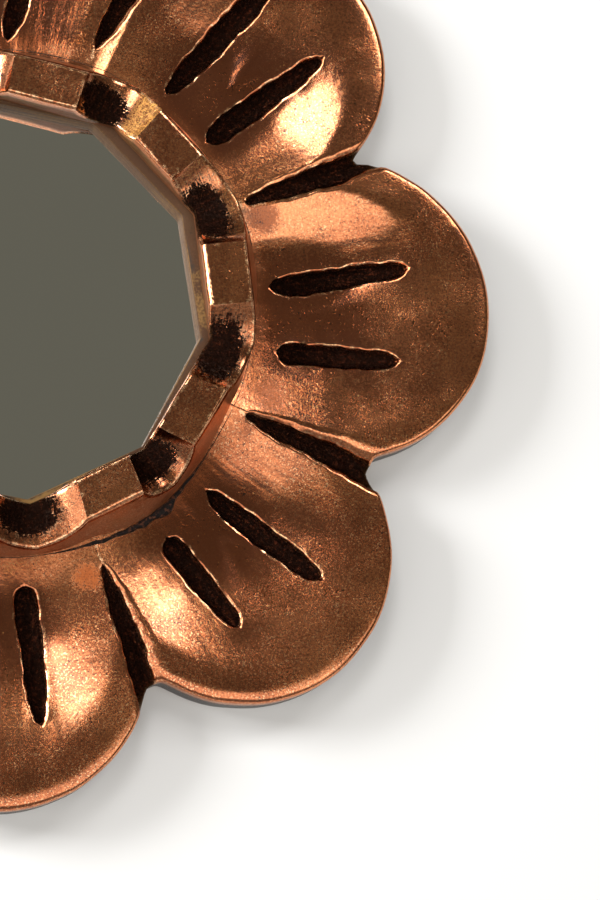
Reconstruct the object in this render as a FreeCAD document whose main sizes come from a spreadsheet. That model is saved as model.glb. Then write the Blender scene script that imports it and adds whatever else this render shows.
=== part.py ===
import FreeCAD, Part
import math
import os
import Sketcher

# Wall mirror: an eight-petal flower carved from one plank, a notched ring glued on it,
# the glass let in from the back, and a swinging hanging ring. Millimetres.
# Every piece is drawn lying face up, with its height counted from the wall and the flower's
# axis at the centre, and is then hung: face to -Y, +Z up, the nail at the origin.

doc = FreeCAD.newDocument("wall_mirror")
sheet = doc.addObject("Spreadsheet::Sheet", "Sizes")

sizes = (
    # carved plank
    ("plank_thickness", 12.0, "carved plank, back to rim"),
    ("lobe_reach", 103.5, "flower's axis to the centre of a petal's round end"),
    ("lobe_radius", 46.0, "round end of a petal"),
    ("edge_round", 3.0, "softened front edge of the petals"),
    ("core_radius", 88.0, "uncut middle that joins the petals"),
    ("dish_radius", 35.0, "crease round a petal's hollow"),
    ("dish_depth", 3.5, "hollow of a petal below its rim"),
    ("gouge_radius", 3.3, "gouge that cut the petal grooves"),
    ("gouge_lift", 9.3, "gouge's centre above the plank's back"),
    ("groove_inner_reach", 86.5, "axis to the inner end of a groove's centre line"),
    ("groove_outer_reach", 121.5, "axis to the outer end of a groove's centre line"),
    ("vein_start", 80.0, "axis to the point of a groove between petals"),
    ("vein_end", 128.0, "axis to past the notch between petals"),
    ("vein_radius", 6.2, "groove between petals where it runs out"),
    # opening and rabbet
    ("lip_reach", 58.0, "axis to a flat of the ten-sided opening"),
    ("rabbet_radius", 66.0, "recess cut in the back"),
    ("rabbet_depth", 8.0, "recess cut in the back"),
    # glued ring
    ("bezel_base_radius", 77.0, "ring's foot"),
    ("bezel_top_reach", 72.3, "axis to a flat of the ring's top outer edge"),
    ("bezel_inner_reach", 60.0, "axis to a flat of the ring's inner wall"),
    ("bezel_rise", 9.0, "ring's thickness"),
    ("notch_radius", 14.5, "gouge that cut the ring's notches"),
    ("notch_depth", 6.0, "notch below the ring's top"),
    ("plinth_margin", 1.0, "flat land left round the ring's foot"),
    # glass and back
    ("glass_thickness", 2.0, "mirror glass"),
    ("glass_play", 1.0, "glass edge to the rabbet's wall"),
    ("arris", 0.4, "ground edge of the glass"),
    ("card_thickness", 1.0, "paper card behind the silvering"),
    ("board_thickness", 2.0, "hardboard back"),
    ("board_play", 0.8, "board edge to the rabbet's wall"),
    ("brad_radius", 0.6, "wire of a brad"),
    ("brad_length", 15.0, "brad, without its head"),
    ("brad_bite", 7.0, "brad's length in the wood"),
    ("brad_head_radius", 1.0, "brad's head"),
    ("brad_head_thickness", 0.6, "brad's head"),
    # hanger
    ("pad_height", 5.0, "felt pad, wall to plank"),
    ("pad_radius", 7.0, "felt pad"),
    ("pad_reach", 126.0, "axis to a pad's centre"),
    ("strap_width", 12.0, "hanger strap"),
    ("strap_gauge", 0.8, "sheet of the strap"),
    ("strap_leg", 30.0, "strap's flat leg, end to hinge axis"),
    ("hinge_reach", 113.0, "flower's axis to the hinge axis"),
    ("ring_wire_radius", 1.2, "wire of the hanging ring"),
    ("hinge_play", 0.05, "wire to the strap's eye"),
    ("ring_bend_radius", 2.5, "lower bends of the hanging ring"),
    ("ring_shoulder", 0.6, "straight wire past each side of the strap"),
    ("ring_side_rise", 3.5, "straight side of the hanging ring"),
    ("screw_radius", 1.5, "hanger screw's shank"),
    ("screw_length", 6.0, "hanger screw under its head, with the point"),
    ("screw_point", 2.0, "screw's point"),
    ("screw_head_radius", 3.0, "pan head"),
    ("screw_head_thickness", 1.6, "pan head"),
    ("screw_spacing", 14.0, "between the two hanger screws"),
    ("screw_margin", 5.0, "strap's end to the lower screw"),
    ("screw_play", 0.2, "screw to the strap's hole"),
    ("overrun", 2.0, "cutting shapes reach past what they cut"),
)

petal_count = 8
bezel_sides = 10
brad_count = 8

# Hand carving: the petals differ. From the right one round anticlockwise, each is turned by a few
# tenths of a degree and has its own share of the lobe's reach and radius.
petal_turns = (0.6, 0.5, -0.4, 0.5, -0.3, 0.2, -0.6, -0.2)
lobe_reach_shares = (0.992, 1.038, 0.995, 1.0, 0.992, 1.006, 1.006, 0.995)
lobe_radius_shares = (1.011, 0.922, 1.0, 0.985, 1.01, 0.99, 0.985, 0.996)

# Two grooves in each petal: the turn of each from the petal's middle, in degrees, and how far
# its ends lie, as shares of the groove's inner and outer reach.
groove_turns = ((-7.2, 6.4), (-6.0, 6.4), (-5.6, 6.2), (-7.0, 6.0),
                (-6.2, 6.8), (-6.4, 6.4), (-7.4, 6.6), (-8.0, 4.9))
groove_inner_shares = ((1.02, 0.985), (0.985, 1.0), (0.98, 1.0), (1.01, 0.99),
                       (1.0, 1.015), (0.99, 1.01), (1.0, 1.02), (1.03, 1.0))
groove_outer_shares = ((0.975, 1.01), (1.01, 1.0), (1.0, 0.99), (0.985, 1.0),
                       (1.01, 0.98), (1.0, 1.0), (1.0, 1.01), (0.95, 1.01))

# The ring's notches lie this far round from the petals, in degrees.
bezel_turn = -9.0

up = FreeCAD.Vector(0, 0, 1)
across = FreeCAD.Vector(1, 0, 0)

for row, (name, number, note) in enumerate(sizes, start=1):
    sheet.set("A%d" % row, name)
    sheet.set("B%d" % row, str(number))
    sheet.set("C%d" % row, note)
    sheet.setAlias("B%d" % row, name)
doc.recompute()


def size(name):
    return float(sheet.get(name))


def add(kind, name, **expressions):
    """A Part object whose properties follow the sheet."""
    piece = doc.addObject(kind, name)
    for prop, expression in expressions.items():
        piece.setExpression(prop, expression)
    return piece


def place(piece, turn, axis, **base):
    """Turns a piece about an axis and ties its base point to the sheet."""
    piece.Placement = FreeCAD.Placement(FreeCAD.Vector(), FreeCAD.Rotation(axis, turn))
    for letter, expression in base.items():
        piece.setExpression("Placement.Base." + letter, expression)


def on_ray(expression, turn):
    """Base x and y, as expressions, of a point on a ray from the flower's axis."""
    return {"x": "(%s) * cos(%s)" % (expression, turn), "y": "(%s) * sin(%s)" % (expression, turn)}


def combine(kind, name, first, second):
    piece = doc.addObject(kind, name)
    piece.Base = first
    piece.Tool = second
    return piece


def gather(kind, name, pieces):
    """Part::MultiFuse or Part::Compound of several pieces."""
    piece = doc.addObject(kind, name)
    if kind == "Part::Compound":
        piece.Links = pieces
    else:
        piece.Shapes = pieces
    return piece


parts = []


def hang(piece, label, turn=0.0):
    """Labels a finished sub-part and hangs it from the nail, face to -Y."""
    stand = FreeCAD.Rotation(across, 90)
    piece.Placement = FreeCAD.Placement(FreeCAD.Vector(), stand.multiply(FreeCAD.Rotation(up, turn)))
    piece.setExpression("Placement.Base.z", "-(%s)" % nail_rise)
    piece.Label = label
    parts.append(piece)


plank_top = "Sizes.pad_height + Sizes.plank_thickness"
rabbet_floor = "Sizes.pad_height + Sizes.rabbet_depth"
card_top = rabbet_floor + " - Sizes.glass_thickness"
board_top = card_top + " - Sizes.card_thickness"
board_back = board_top + " - Sizes.board_thickness"
eye_radius = "(Sizes.ring_wire_radius + Sizes.hinge_play + Sizes.strap_gauge)"
hinge_lift = "Sizes.pad_height - " + eye_radius
ring_half_width = "(Sizes.strap_width / 2 + Sizes.ring_shoulder + Sizes.ring_bend_radius)"
nail_rise = ("Sizes.hinge_reach + Sizes.ring_bend_radius + Sizes.ring_side_rise + " + ring_half_width
             + " - Sizes.ring_wire_radius")


def petal_turn(number):
    return 360 / petal_count * number + petal_turns[number]


def vein_turn(number):
    """Middle between a petal and the next."""
    after = (number + 1) % petal_count
    step = 360 / petal_count
    return step * number + step / 2 + (petal_turns[number] + petal_turns[after]) / 2


def polygon_prism(name, reach, sides, low, length):
    """Prism with a corner on +X, cut from flats at the given reach."""
    prism = add("Part::Prism", name, Circumradius="(%s) / cos(%s)" % (reach, 180 / sides), Height=length)
    prism.Polygon = sides
    prism.setExpression("Placement.Base.z", low)
    return prism


def petal_lobe(number):
    """One petal's round end, with its front edge softened."""
    reach = "Sizes.lobe_reach * %s" % lobe_reach_shares[number]
    disc = add("Part::Cylinder", "lobe_disc_%d" % number,
               Radius="Sizes.lobe_radius * %s" % lobe_radius_shares[number], Height="Sizes.plank_thickness")
    place(disc, 0, up, z="Sizes.pad_height", **on_ray(reach, petal_turn(number)))
    doc.recompute()
    rim = [index for index, edge in enumerate(disc.Shape.Edges, start=1)
           if edge.Closed and edge.CenterOfMass.z > size("pad_height") + size("plank_thickness") / 2]
    lobe = doc.addObject("Part::Fillet", "lobe_%d" % number)
    lobe.Base = disc
    lobe.Edges = [(index, size("edge_round"), size("edge_round")) for index in rim]
    return lobe


def petal_hollow(number, land):
    """Shallow round dish inside a petal's rim, stopped at the land round the ring."""
    rim = "(Sizes.dish_radius * %s)" % lobe_radius_shares[number]
    ball_radius = "((%s ^ 2 + Sizes.dish_depth ^ 2) / (2 * Sizes.dish_depth))" % rim
    ball = add("Part::Sphere", "hollow_ball_%d" % number, Radius=ball_radius)
    place(ball, 0, up, z="%s - Sizes.dish_depth + %s" % (plank_top, ball_radius),
          **on_ray("Sizes.lobe_reach * %s" % lobe_reach_shares[number], petal_turn(number)))
    return combine("Part::Cut", "hollow_%d" % number, ball, land)


def petal_groove(number, side):
    """One gouge cut with round ends, nearly along a ray."""
    name = "groove_%d_%d" % (number, side)
    turn = petal_turn(number) + groove_turns[number][side]
    inner = "Sizes.groove_inner_reach * %s" % groove_inner_shares[number][side]
    outer = "Sizes.groove_outer_reach * %s" % groove_outer_shares[number][side]
    height = "Sizes.pad_height + Sizes.gouge_lift"
    sweep = add("Part::Cylinder", name + "_sweep", Radius="Sizes.gouge_radius",
                Height="%s - %s" % (outer, inner))
    sweep.Placement = FreeCAD.Placement(
        FreeCAD.Vector(), FreeCAD.Rotation(up, turn).multiply(FreeCAD.Rotation(FreeCAD.Vector(0, 1, 0), 90)))
    for letter, expression in dict(on_ray(inner, turn), z=height).items():
        sweep.setExpression("Placement.Base." + letter, expression)
    ends = []
    for end, reach in (("inner", inner), ("outer", outer)):
        ball = add("Part::Sphere", "%s_%s" % (name, end), Radius="Sizes.gouge_radius")
        place(ball, turn, up, z=height, **on_ray(reach, turn))
        ends.append(ball)
    return gather("Part::MultiFuse", name, [sweep] + ends)


def petal_vein(number):
    """Pointed groove between two petals, widening until it runs out of the edge."""
    turn = vein_turn(number)
    cone = add("Part::Cone", "vein_%d" % number, Radius2="Sizes.vein_radius",
               Height="Sizes.vein_end - Sizes.vein_start")
    cone.Radius1 = 0
    cone.Placement = FreeCAD.Placement(
        FreeCAD.Vector(), FreeCAD.Rotation(up, turn).multiply(FreeCAD.Rotation(FreeCAD.Vector(0, 1, 0), 90)))
    for letter, expression in dict(on_ray("Sizes.vein_start", turn), z=plank_top).items():
        cone.setExpression("Placement.Base." + letter, expression)
    return cone


def brad_shape(name, turn, radius, inner, outer):
    """Straight pin along a ray, as high as a brad whose head rests on the back board."""
    pin = add("Part::Cylinder", name, Radius=radius, Height="%s - (%s)" % (outer, inner))
    pin.Placement = FreeCAD.Placement(
        FreeCAD.Vector(), FreeCAD.Rotation(up, turn).multiply(FreeCAD.Rotation(FreeCAD.Vector(0, 1, 0), 90)))
    height = "%s - Sizes.brad_head_radius" % board_back
    for letter, expression in dict(on_ray(inner, turn), z=height).items():
        pin.setExpression("Placement.Base." + letter, expression)
    return pin


brad_turns = [360 / brad_count * (number + 0.5) for number in range(brad_count)]
brad_end = "Sizes.rabbet_radius + Sizes.brad_bite"
screw_reaches = ["Sizes.hinge_reach - Sizes.strap_leg + Sizes.screw_margin",
                 "Sizes.hinge_reach - Sizes.strap_leg + Sizes.screw_margin + Sizes.screw_spacing"]


def screw_shank(name, reach):
    """Straight shank and point, from the strap's outer face into the plank."""
    shank = add("Part::Cylinder", name + "_shank", Radius="Sizes.screw_radius",
                Height="Sizes.screw_length - Sizes.screw_point")
    place(shank, 0, up, y=reach, z="Sizes.pad_height - Sizes.strap_gauge")
    point = add("Part::Cone", name + "_point", Radius1="Sizes.screw_radius", Height="Sizes.screw_point")
    point.Radius2 = 0
    place(point, 0, up, y=reach,
          z="Sizes.pad_height - Sizes.strap_gauge + Sizes.screw_length - Sizes.screw_point")
    return combine("Part::Fuse", name, shank, point)


def make_petal_plate():
    lobes = [petal_lobe(number) for number in range(petal_count)]
    core = add("Part::Cylinder", "plank_core", Radius="Sizes.core_radius", Height="Sizes.plank_thickness")
    core.setExpression("Placement.Base.z", "Sizes.pad_height")
    blank = gather("Part::MultiFuse", "plank_blank", lobes + [core])

    land = add("Part::Cylinder", "ring_land", Radius="Sizes.bezel_base_radius + Sizes.plinth_margin",
               Height=plank_top + " + Sizes.overrun")
    hollows = [petal_hollow(number, land) for number in range(petal_count)]
    dished = combine("Part::Cut", "plank_dished", blank, gather("Part::Compound", "hollows", hollows))
    grooves = [petal_groove(number, side) for number in range(petal_count) for side in (0, 1)]
    grooved = combine("Part::Cut", "plank_grooved", dished, gather("Part::Compound", "grooves", grooves))
    veins = [petal_vein(number) for number in range(petal_count)]
    veined = combine("Part::Cut", "plank_veined", grooved, gather("Part::Compound", "veins", veins))

    window = polygon_prism("window_cut", "Sizes.lip_reach", bezel_sides,
                           "Sizes.pad_height - Sizes.overrun", "Sizes.plank_thickness + 2 * Sizes.overrun")
    window.Placement.Rotation = FreeCAD.Rotation(up, bezel_turn)
    rabbet = add("Part::Cylinder", "rabbet_cut", Radius="Sizes.rabbet_radius",
                 Height="Sizes.rabbet_depth + Sizes.overrun")
    rabbet.setExpression("Placement.Base.z", "Sizes.pad_height - Sizes.overrun")
    opening = gather("Part::MultiFuse", "opening_cut", [window, rabbet])
    opened = combine("Part::Cut", "plank_opened", veined, opening)
    hole_start = "Sizes.rabbet_radius - Sizes.overrun"
    holes = [brad_shape("brad_hole_%d" % number, turn, "Sizes.brad_radius", hole_start, brad_end)
             for number, turn in enumerate(brad_turns)]
    holes += [screw_shank("screw_hole_%d" % number, reach) for number, reach in enumerate(screw_reaches)]
    plate = combine("Part::Cut", "carved_plank", opened, gather("Part::Compound", "fixing_holes", holes))
    hang(plate, "petal_plate")


def plane_of(body, role):
    return [feature for feature in body.Origin.OriginFeatures if feature.Role == role][0]


def new_sketch(body, name, role, offset=None):
    """Sketch on one of the body's origin planes, raised by an expression."""
    sketch = body.newObject("Sketcher::SketchObject", name)
    sketch.AttachmentSupport = [(plane_of(body, role), "")]
    sketch.MapMode = "FlatFace"
    if offset:
        sketch.setExpression("AttachmentOffset.Base.z", offset)
    return sketch


def circle_sketch(body, name, radius, offset):
    sketch = new_sketch(body, name, "XY_Plane", offset)
    ring = sketch.addGeometry(Part.Circle(FreeCAD.Vector(), up, 1), False)
    sketch.addConstraint(Sketcher.Constraint("Coincident", ring, 3, -1, 1))
    rule = sketch.addConstraint(Sketcher.Constraint("Radius", ring, 1))
    sketch.setExpression("Constraints[%d]" % rule, radius)
    return sketch


def disc_body(name, radius, low, thickness):
    body = doc.addObject("PartDesign::Body", name)
    pad = body.newObject("PartDesign::Pad", name + "_pad")
    pad.Profile = circle_sketch(body, name + "_outline", radius, low)
    pad.setExpression("Length", thickness)
    return body, pad


def corner_points(reach):
    """Corners of a regular polygon whose flats lie at the given reach, the first on +X."""
    step = 2 * math.pi / bezel_sides
    radius = reach / math.cos(step / 2)
    turns = [step * number for number in range(bezel_sides)]
    return [FreeCAD.Vector(radius * math.cos(turn), radius * math.sin(turn)) for turn in turns]


def polygon_sketch(body, name, reach, offset):
    sketch = new_sketch(body, name, "XY_Plane", offset)
    corners = corner_points(reach)
    for start, end in zip(corners, corners[1:] + corners[:1]):
        sketch.addGeometry(Part.LineSegment(start, end), False)
    return sketch


def arcs_sketch(body, name, radius, offset):
    """Circle in as many arcs as the ring has sides."""
    sketch = new_sketch(body, name, "XY_Plane", offset)
    step = 2 * math.pi / bezel_sides
    for number in range(bezel_sides):
        arc = Part.ArcOfCircle(Part.Circle(FreeCAD.Vector(), up, radius), step * number, step * (number + 1))
        sketch.addGeometry(arc, False)
    return sketch


def make_bezel_ring():
    body = doc.addObject("PartDesign::Body", "bezel")
    foot = arcs_sketch(body, "bezel_foot", size("bezel_base_radius"), plank_top)
    crown = polygon_sketch(body, "bezel_crown", size("bezel_top_reach"), plank_top + " + Sizes.bezel_rise")
    loft = body.newObject("PartDesign::AdditiveLoft", "bezel_loft")
    loft.Profile = foot
    loft.Sections = [crown]
    loft.Ruled = True
    doc.recompute()

    window = body.newObject("PartDesign::Pocket", "bezel_window")
    window.Profile = polygon_sketch(body, "bezel_inner", size("bezel_inner_reach"),
                                    plank_top + " - Sizes.overrun")
    window.Reversed = True
    window.setExpression("Length", "Sizes.bezel_rise + 2 * Sizes.overrun")
    doc.recompute()

    # a notch is a gouge cut along a ray, through the ring's corner
    profile = new_sketch(body, "notch_profile", "YZ_Plane")
    round_cut = profile.addGeometry(Part.Circle(FreeCAD.Vector(), up, 1), False)
    profile.addConstraint(Sketcher.Constraint("PointOnObject", round_cut, 3, -2))
    height = profile.addConstraint(Sketcher.Constraint("DistanceY", -1, 1, round_cut, 3, 1))
    radius = profile.addConstraint(Sketcher.Constraint("Radius", round_cut, 1))
    profile.setExpression("Constraints[%d]" % height,
                          plank_top + " + Sizes.bezel_rise - Sizes.notch_depth + Sizes.notch_radius")
    profile.setExpression("Constraints[%d]" % radius, "Sizes.notch_radius")
    notch = body.newObject("PartDesign::Pocket", "notch")
    notch.Profile = profile
    notch.Reversed = True
    notch.setExpression("Length", "Sizes.bezel_base_radius + Sizes.overrun")
    doc.recompute()
    notches = body.newObject("PartDesign::PolarPattern", "notches")
    notches.Originals = [notch]
    notches.Axis = (profile, ["V_Axis"])
    notches.Angle = 360
    notches.Occurrences = bezel_sides
    body.Tip = notches
    hang(body, "bezel_ring", bezel_turn)
    return loft, window, notches


def make_glass():
    body, pad = disc_body("glass", "Sizes.rabbet_radius - Sizes.glass_play", card_top,
                          "Sizes.glass_thickness")
    doc.recompute()
    grind = body.newObject("PartDesign::Chamfer", "glass_arris")
    grind.Base = (pad, ["Edge%d" % n for n, edge in enumerate(pad.Shape.Edges, start=1) if edge.Closed])
    grind.setExpression("Size", "Sizes.arris")
    body.Tip = grind
    hang(body, "mirror_glass")


def make_backing():
    card = disc_body("card", "Sizes.rabbet_radius - Sizes.glass_play", board_top,
                     "Sizes.card_thickness")[0]
    hang(card, "backing_card")
    board = disc_body("board", "Sizes.rabbet_radius - Sizes.board_play", board_back,
                      "Sizes.board_thickness")[0]
    hang(board, "back_board")


def make_brads():
    brads = []
    for number, turn in enumerate(brad_turns):
        head_end = "%s - Sizes.brad_length" % brad_end
        shank = brad_shape("brad_shank_%d" % number, turn, "Sizes.brad_radius", head_end, brad_end)
        head = brad_shape("brad_head_%d" % number, turn, "Sizes.brad_head_radius",
                          "%s - Sizes.brad_head_thickness" % head_end, head_end)
        brads.append(combine("Part::Fuse", "brad_%d" % number, shank, head))
    hang(gather("Part::Compound", "brads", brads), "panel_brads")


def make_hanger_strap():
    leg = add("Part::Box", "strap_leg_blank", Length="Sizes.strap_width", Width="Sizes.strap_leg",
              Height="Sizes.strap_gauge")
    place(leg, 0, up, x="-Sizes.strap_width / 2", y="Sizes.hinge_reach - Sizes.strap_leg",
          z="Sizes.pad_height - Sizes.strap_gauge")
    eye = add("Part::Cylinder", "strap_eye_blank", Radius=eye_radius, Height="Sizes.strap_width")
    place(eye, 90, FreeCAD.Vector(0, 1, 0), x="-Sizes.strap_width / 2", y="Sizes.hinge_reach", z=hinge_lift)
    bore = add("Part::Cylinder", "strap_eye_bore", Radius="Sizes.ring_wire_radius + Sizes.hinge_play",
               Height="Sizes.strap_width + 2 * Sizes.overrun")
    place(bore, 90, FreeCAD.Vector(0, 1, 0), x="-Sizes.strap_width / 2 - Sizes.overrun",
          y="Sizes.hinge_reach", z=hinge_lift)
    cuts = [bore]
    for number, reach in enumerate(screw_reaches):
        hole = add("Part::Cylinder", "strap_hole_%d" % number, Radius="Sizes.screw_radius + Sizes.screw_play",
                   Height="Sizes.strap_gauge + 2 * Sizes.overrun")
        place(hole, 0, up, y=reach, z="Sizes.pad_height - Sizes.strap_gauge - Sizes.overrun")
        cuts.append(hole)
    blank = combine("Part::Fuse", "strap_blank", leg, eye)
    hang(combine("Part::Cut", "strap", blank, gather("Part::MultiFuse", "strap_cuts", cuts)), "hanger_strap")


def make_hanging_ring():
    """Round wire bent to a D: straight in the strap's eye, round where the nail bears."""
    wire = size("ring_wire_radius")
    bend = size("ring_bend_radius")
    flat = size("strap_width") / 2 + size("ring_shoulder")
    half = flat + bend
    low = size("hinge_reach")
    shoulder = low + bend + size("ring_side_rise")
    lift = size("pad_height") - (wire + size("hinge_play") + size("strap_gauge"))
    slant = math.sqrt(0.5)

    def spot(x, y):
        return FreeCAD.Vector(x, y, lift)

    right_mid = spot(flat + bend * slant, low + bend - bend * slant)
    left_mid = spot(-flat - bend * slant, low + bend - bend * slant)
    path = Part.Wire([
        Part.LineSegment(spot(-flat, low), spot(flat, low)).toShape(),
        Part.Arc(spot(flat, low), right_mid, spot(half, low + bend)).toShape(),
        Part.LineSegment(spot(half, low + bend), spot(half, shoulder)).toShape(),
        Part.Arc(spot(half, shoulder), spot(0, shoulder + half), spot(-half, shoulder)).toShape(),
        Part.LineSegment(spot(-half, shoulder), spot(-half, low + bend)).toShape(),
        Part.Arc(spot(-half, low + bend), left_mid, spot(-flat, low)).toShape(),
    ])
    section = Part.Wire(Part.Circle(spot(-flat, low), across, wire).toShape())
    ring = doc.addObject("Part::Feature", "ring")
    ring.Shape = path.makePipeShell([section], True, True)
    hang(ring, "hanging_ring")


def make_hanger_screws():
    screws = []
    for number, reach in enumerate(screw_reaches):
        head = add("Part::Cylinder", "screw_head_%d" % number, Radius="Sizes.screw_head_radius",
                   Height="Sizes.screw_head_thickness")
        place(head, 0, up, y=reach, z="Sizes.pad_height - Sizes.strap_gauge - Sizes.screw_head_thickness")
        shank = screw_shank("screw_body_%d" % number, reach)
        screws.append(combine("Part::Fuse", "screw_%d" % number, head, shank))
    hang(gather("Part::Compound", "screws", screws), "hanger_screws")


def make_wall_pads():
    places = {"upper_right": 1, "upper_left": 3, "lower_left": 5, "lower_right": 7}
    for where, number in places.items():
        pad = add("Part::Cylinder", "pad_" + where, Radius="Sizes.pad_radius", Height="Sizes.pad_height")
        spot = on_ray("Sizes.pad_reach", 360 / petal_count * number)
        # the pad's base point, hung like the rest
        pad.Placement = FreeCAD.Placement(FreeCAD.Vector(), FreeCAD.Rotation(across, 90))
        pad.setExpression("Placement.Base.x", spot["x"])
        pad.setExpression("Placement.Base.z", "%s - (%s)" % (spot["y"], nail_rise))
        pad.Label = "wall_pad_" + where
        parts.append(pad)


make_petal_plate()
bezel_steps = make_bezel_ring()
make_glass()
make_backing()
make_brads()
make_hanger_strap()
make_hanging_ring()
make_hanger_screws()
make_wall_pads()
doc.recompute()

for item in doc.Objects:
    if "Invalid" in item.State or "Error" in item.State:
        raise RuntimeError("%s: %s" % (item.Name, item.State))
volumes = [step.Shape.Volume for step in bezel_steps]
if not volumes[0] > volumes[1] > volumes[2]:
    raise RuntimeError("a cut in the ring removes nothing")
os.makedirs("parts", exist_ok=True)
for part in parts:
    if part.Shape.isNull() or not part.Shape.isValid():
        raise RuntimeError("bad shape: " + part.Label)
    part.Shape.exportStep("parts/%s.step" % part.Label)
    box = part.Shape.BoundBox
    print("%-22s %2d solids %10.1f mm3  x %.1f..%.1f  y %.1f..%.1f  z %.1f..%.1f" % (
        part.Label, len(part.Shape.Solids), part.Shape.Volume,
        box.XMin, box.XMax, box.YMin, box.YMax, box.ZMin, box.ZMax))
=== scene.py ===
import math

import bpy
import numpy as np
from mathutils import Matrix, Vector


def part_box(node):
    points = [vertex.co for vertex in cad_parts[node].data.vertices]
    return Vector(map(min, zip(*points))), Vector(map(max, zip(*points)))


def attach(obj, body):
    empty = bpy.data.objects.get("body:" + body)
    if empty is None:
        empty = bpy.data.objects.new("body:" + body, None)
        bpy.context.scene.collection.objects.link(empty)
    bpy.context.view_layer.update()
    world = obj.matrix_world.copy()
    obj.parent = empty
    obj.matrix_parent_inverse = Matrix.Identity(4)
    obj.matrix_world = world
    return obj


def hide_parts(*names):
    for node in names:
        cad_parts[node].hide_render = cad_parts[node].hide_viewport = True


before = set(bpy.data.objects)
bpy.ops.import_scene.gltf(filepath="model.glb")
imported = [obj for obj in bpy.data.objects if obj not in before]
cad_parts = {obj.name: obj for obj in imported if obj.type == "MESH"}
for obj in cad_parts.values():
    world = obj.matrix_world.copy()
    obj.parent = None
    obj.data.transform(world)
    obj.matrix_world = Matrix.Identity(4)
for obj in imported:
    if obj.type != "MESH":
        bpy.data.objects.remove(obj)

# Carved and copper-leafed wall mirror. Shapes are worked out in millimetres, lying face up with the
# flower's axis at the centre and heights counted from the wall, then hung on the frame's own place.

mm = 0.001
tau = 2 * math.pi
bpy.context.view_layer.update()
glassLow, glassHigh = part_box("mirror_glass")
flowerX = (glassLow[0] + glassHigh[0]) / 2 / mm
flowerZ = (glassLow[2] + glassHigh[2]) / 2 / mm


# helpers
def deselect():
    bpy.ops.object.select_all(action="DESELECT")
    bpy.context.view_layer.objects.active = None


def newest(name):
    piece = bpy.context.object
    piece.name = piece.data.name = name
    return piece


def edit(action="SELECT"):
    bpy.ops.object.mode_set(mode="EDIT")
    bpy.ops.mesh.select_all(action=action)


def endEdit():
    bpy.ops.object.mode_set(mode="OBJECT")


def faceOutwards():
    edit()
    bpy.ops.mesh.normals_make_consistent(inside=False)
    endEdit()


def readPoints(piece):
    flat = np.empty(len(piece.data.vertices) * 3)
    piece.data.vertices.foreach_get("co", flat)
    return flat.reshape(-1, 3)


def joinTo(piece, others):
    deselect()
    for part in [piece] + others:
        part.select_set(True)
    bpy.context.view_layer.objects.active = piece
    bpy.ops.object.join()


def hung(turn, reach, height):
    # flower coordinates in mm to the hung frame in metres
    spots = np.empty(turn.shape + (3,))
    spots[..., 0] = (reach * np.cos(turn) + flowerX) * mm
    spots[..., 1] = -height * mm
    spots[..., 2] = (reach * np.sin(turn) + flowerZ) * mm
    return spots


def patchNoise(seed, cell, x, z):
    # smooth noise from -1 to 1, with patches about one cell wide
    side = 64
    table = np.random.default_rng(seed).uniform(-1, 1, (side, side))
    u, v = x / cell, z / cell
    i, j = np.floor(u).astype(int), np.floor(v).astype(int)
    u, v = u - i, v - j
    u, v = u * u * (3 - 2 * u), v * v * (3 - 2 * v)
    i, j, following, above = i % side, j % side, (i + 1) % side, (j + 1) % side
    near = table[i, j] * (1 - u) + table[following, j] * u
    far = table[i, above] * (1 - u) + table[following, above] * u
    return near * (1 - v) + far * v


def ease(low, high, value):
    part = np.clip((value - low) / (high - low), 0, 1)
    return part * part * (3 - 2 * part)


def wrapped(angle):
    return (angle + math.pi) % tau - math.pi


def rolledSheet(name, rows, columns):
    # a grid, with the row and column of each point, whose two sides are then bent round and sewn up
    deselect()
    bpy.ops.mesh.primitive_grid_add(x_subdivisions=columns, y_subdivisions=rows, size=2)
    sheet = newest(name)
    flat = readPoints(sheet)
    column = np.rint((flat[:, 0] + 1) / 2 * columns).astype(int) % columns
    row = np.rint((flat[:, 1] + 1) / 2 * rows).astype(int) % rows
    return sheet, row, column


def closeSheet(sheet, row, column, turn, reach, height, masks, smoothAngle):
    # moves the sheet's points to their places, sews its seams, and keeps its masks and polar map
    seamTolerance = 1e-6
    sheet.data.vertices.foreach_set("co", hung(turn, reach, height)[row, column].ravel())
    for name, values in masks.items():
        layer = sheet.data.attributes.new(name, "FLOAT", "POINT")
        layer.data.foreach_set("value", values[row, column].astype(np.float32))
    turn = turn - turn.min()
    corner = np.empty(len(sheet.data.loops), dtype=np.int32)
    sheet.data.loops.foreach_get("vertex_index", corner)
    grid = np.empty(len(corner) * 2)
    sheet.data.uv_layers[0].data.foreach_get("uv", grid)
    grid = grid.reshape(-1, 2)
    uv = np.empty((len(corner), 2))
    here = turn[row[corner], column[corner]]
    late = (grid[:, 0] > 0.75) & (here < turn.max() / 4)
    early = (grid[:, 0] < 0.25) & (here > turn.max() * 3 / 4)
    uv[:, 0] = here + late * tau - early * tau
    uv[:, 1] = reach[row[corner], column[corner]]
    sheet.data.uv_layers[0].data.foreach_set("uv", uv.ravel())
    sheet.data.uv_layers[0].name = "polar"
    edit()
    bpy.ops.mesh.remove_doubles(threshold=seamTolerance)
    endEdit()
    faceOutwards()
    bpy.ops.object.shade_smooth_by_angle(angle=math.radians(smoothAngle))


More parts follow.
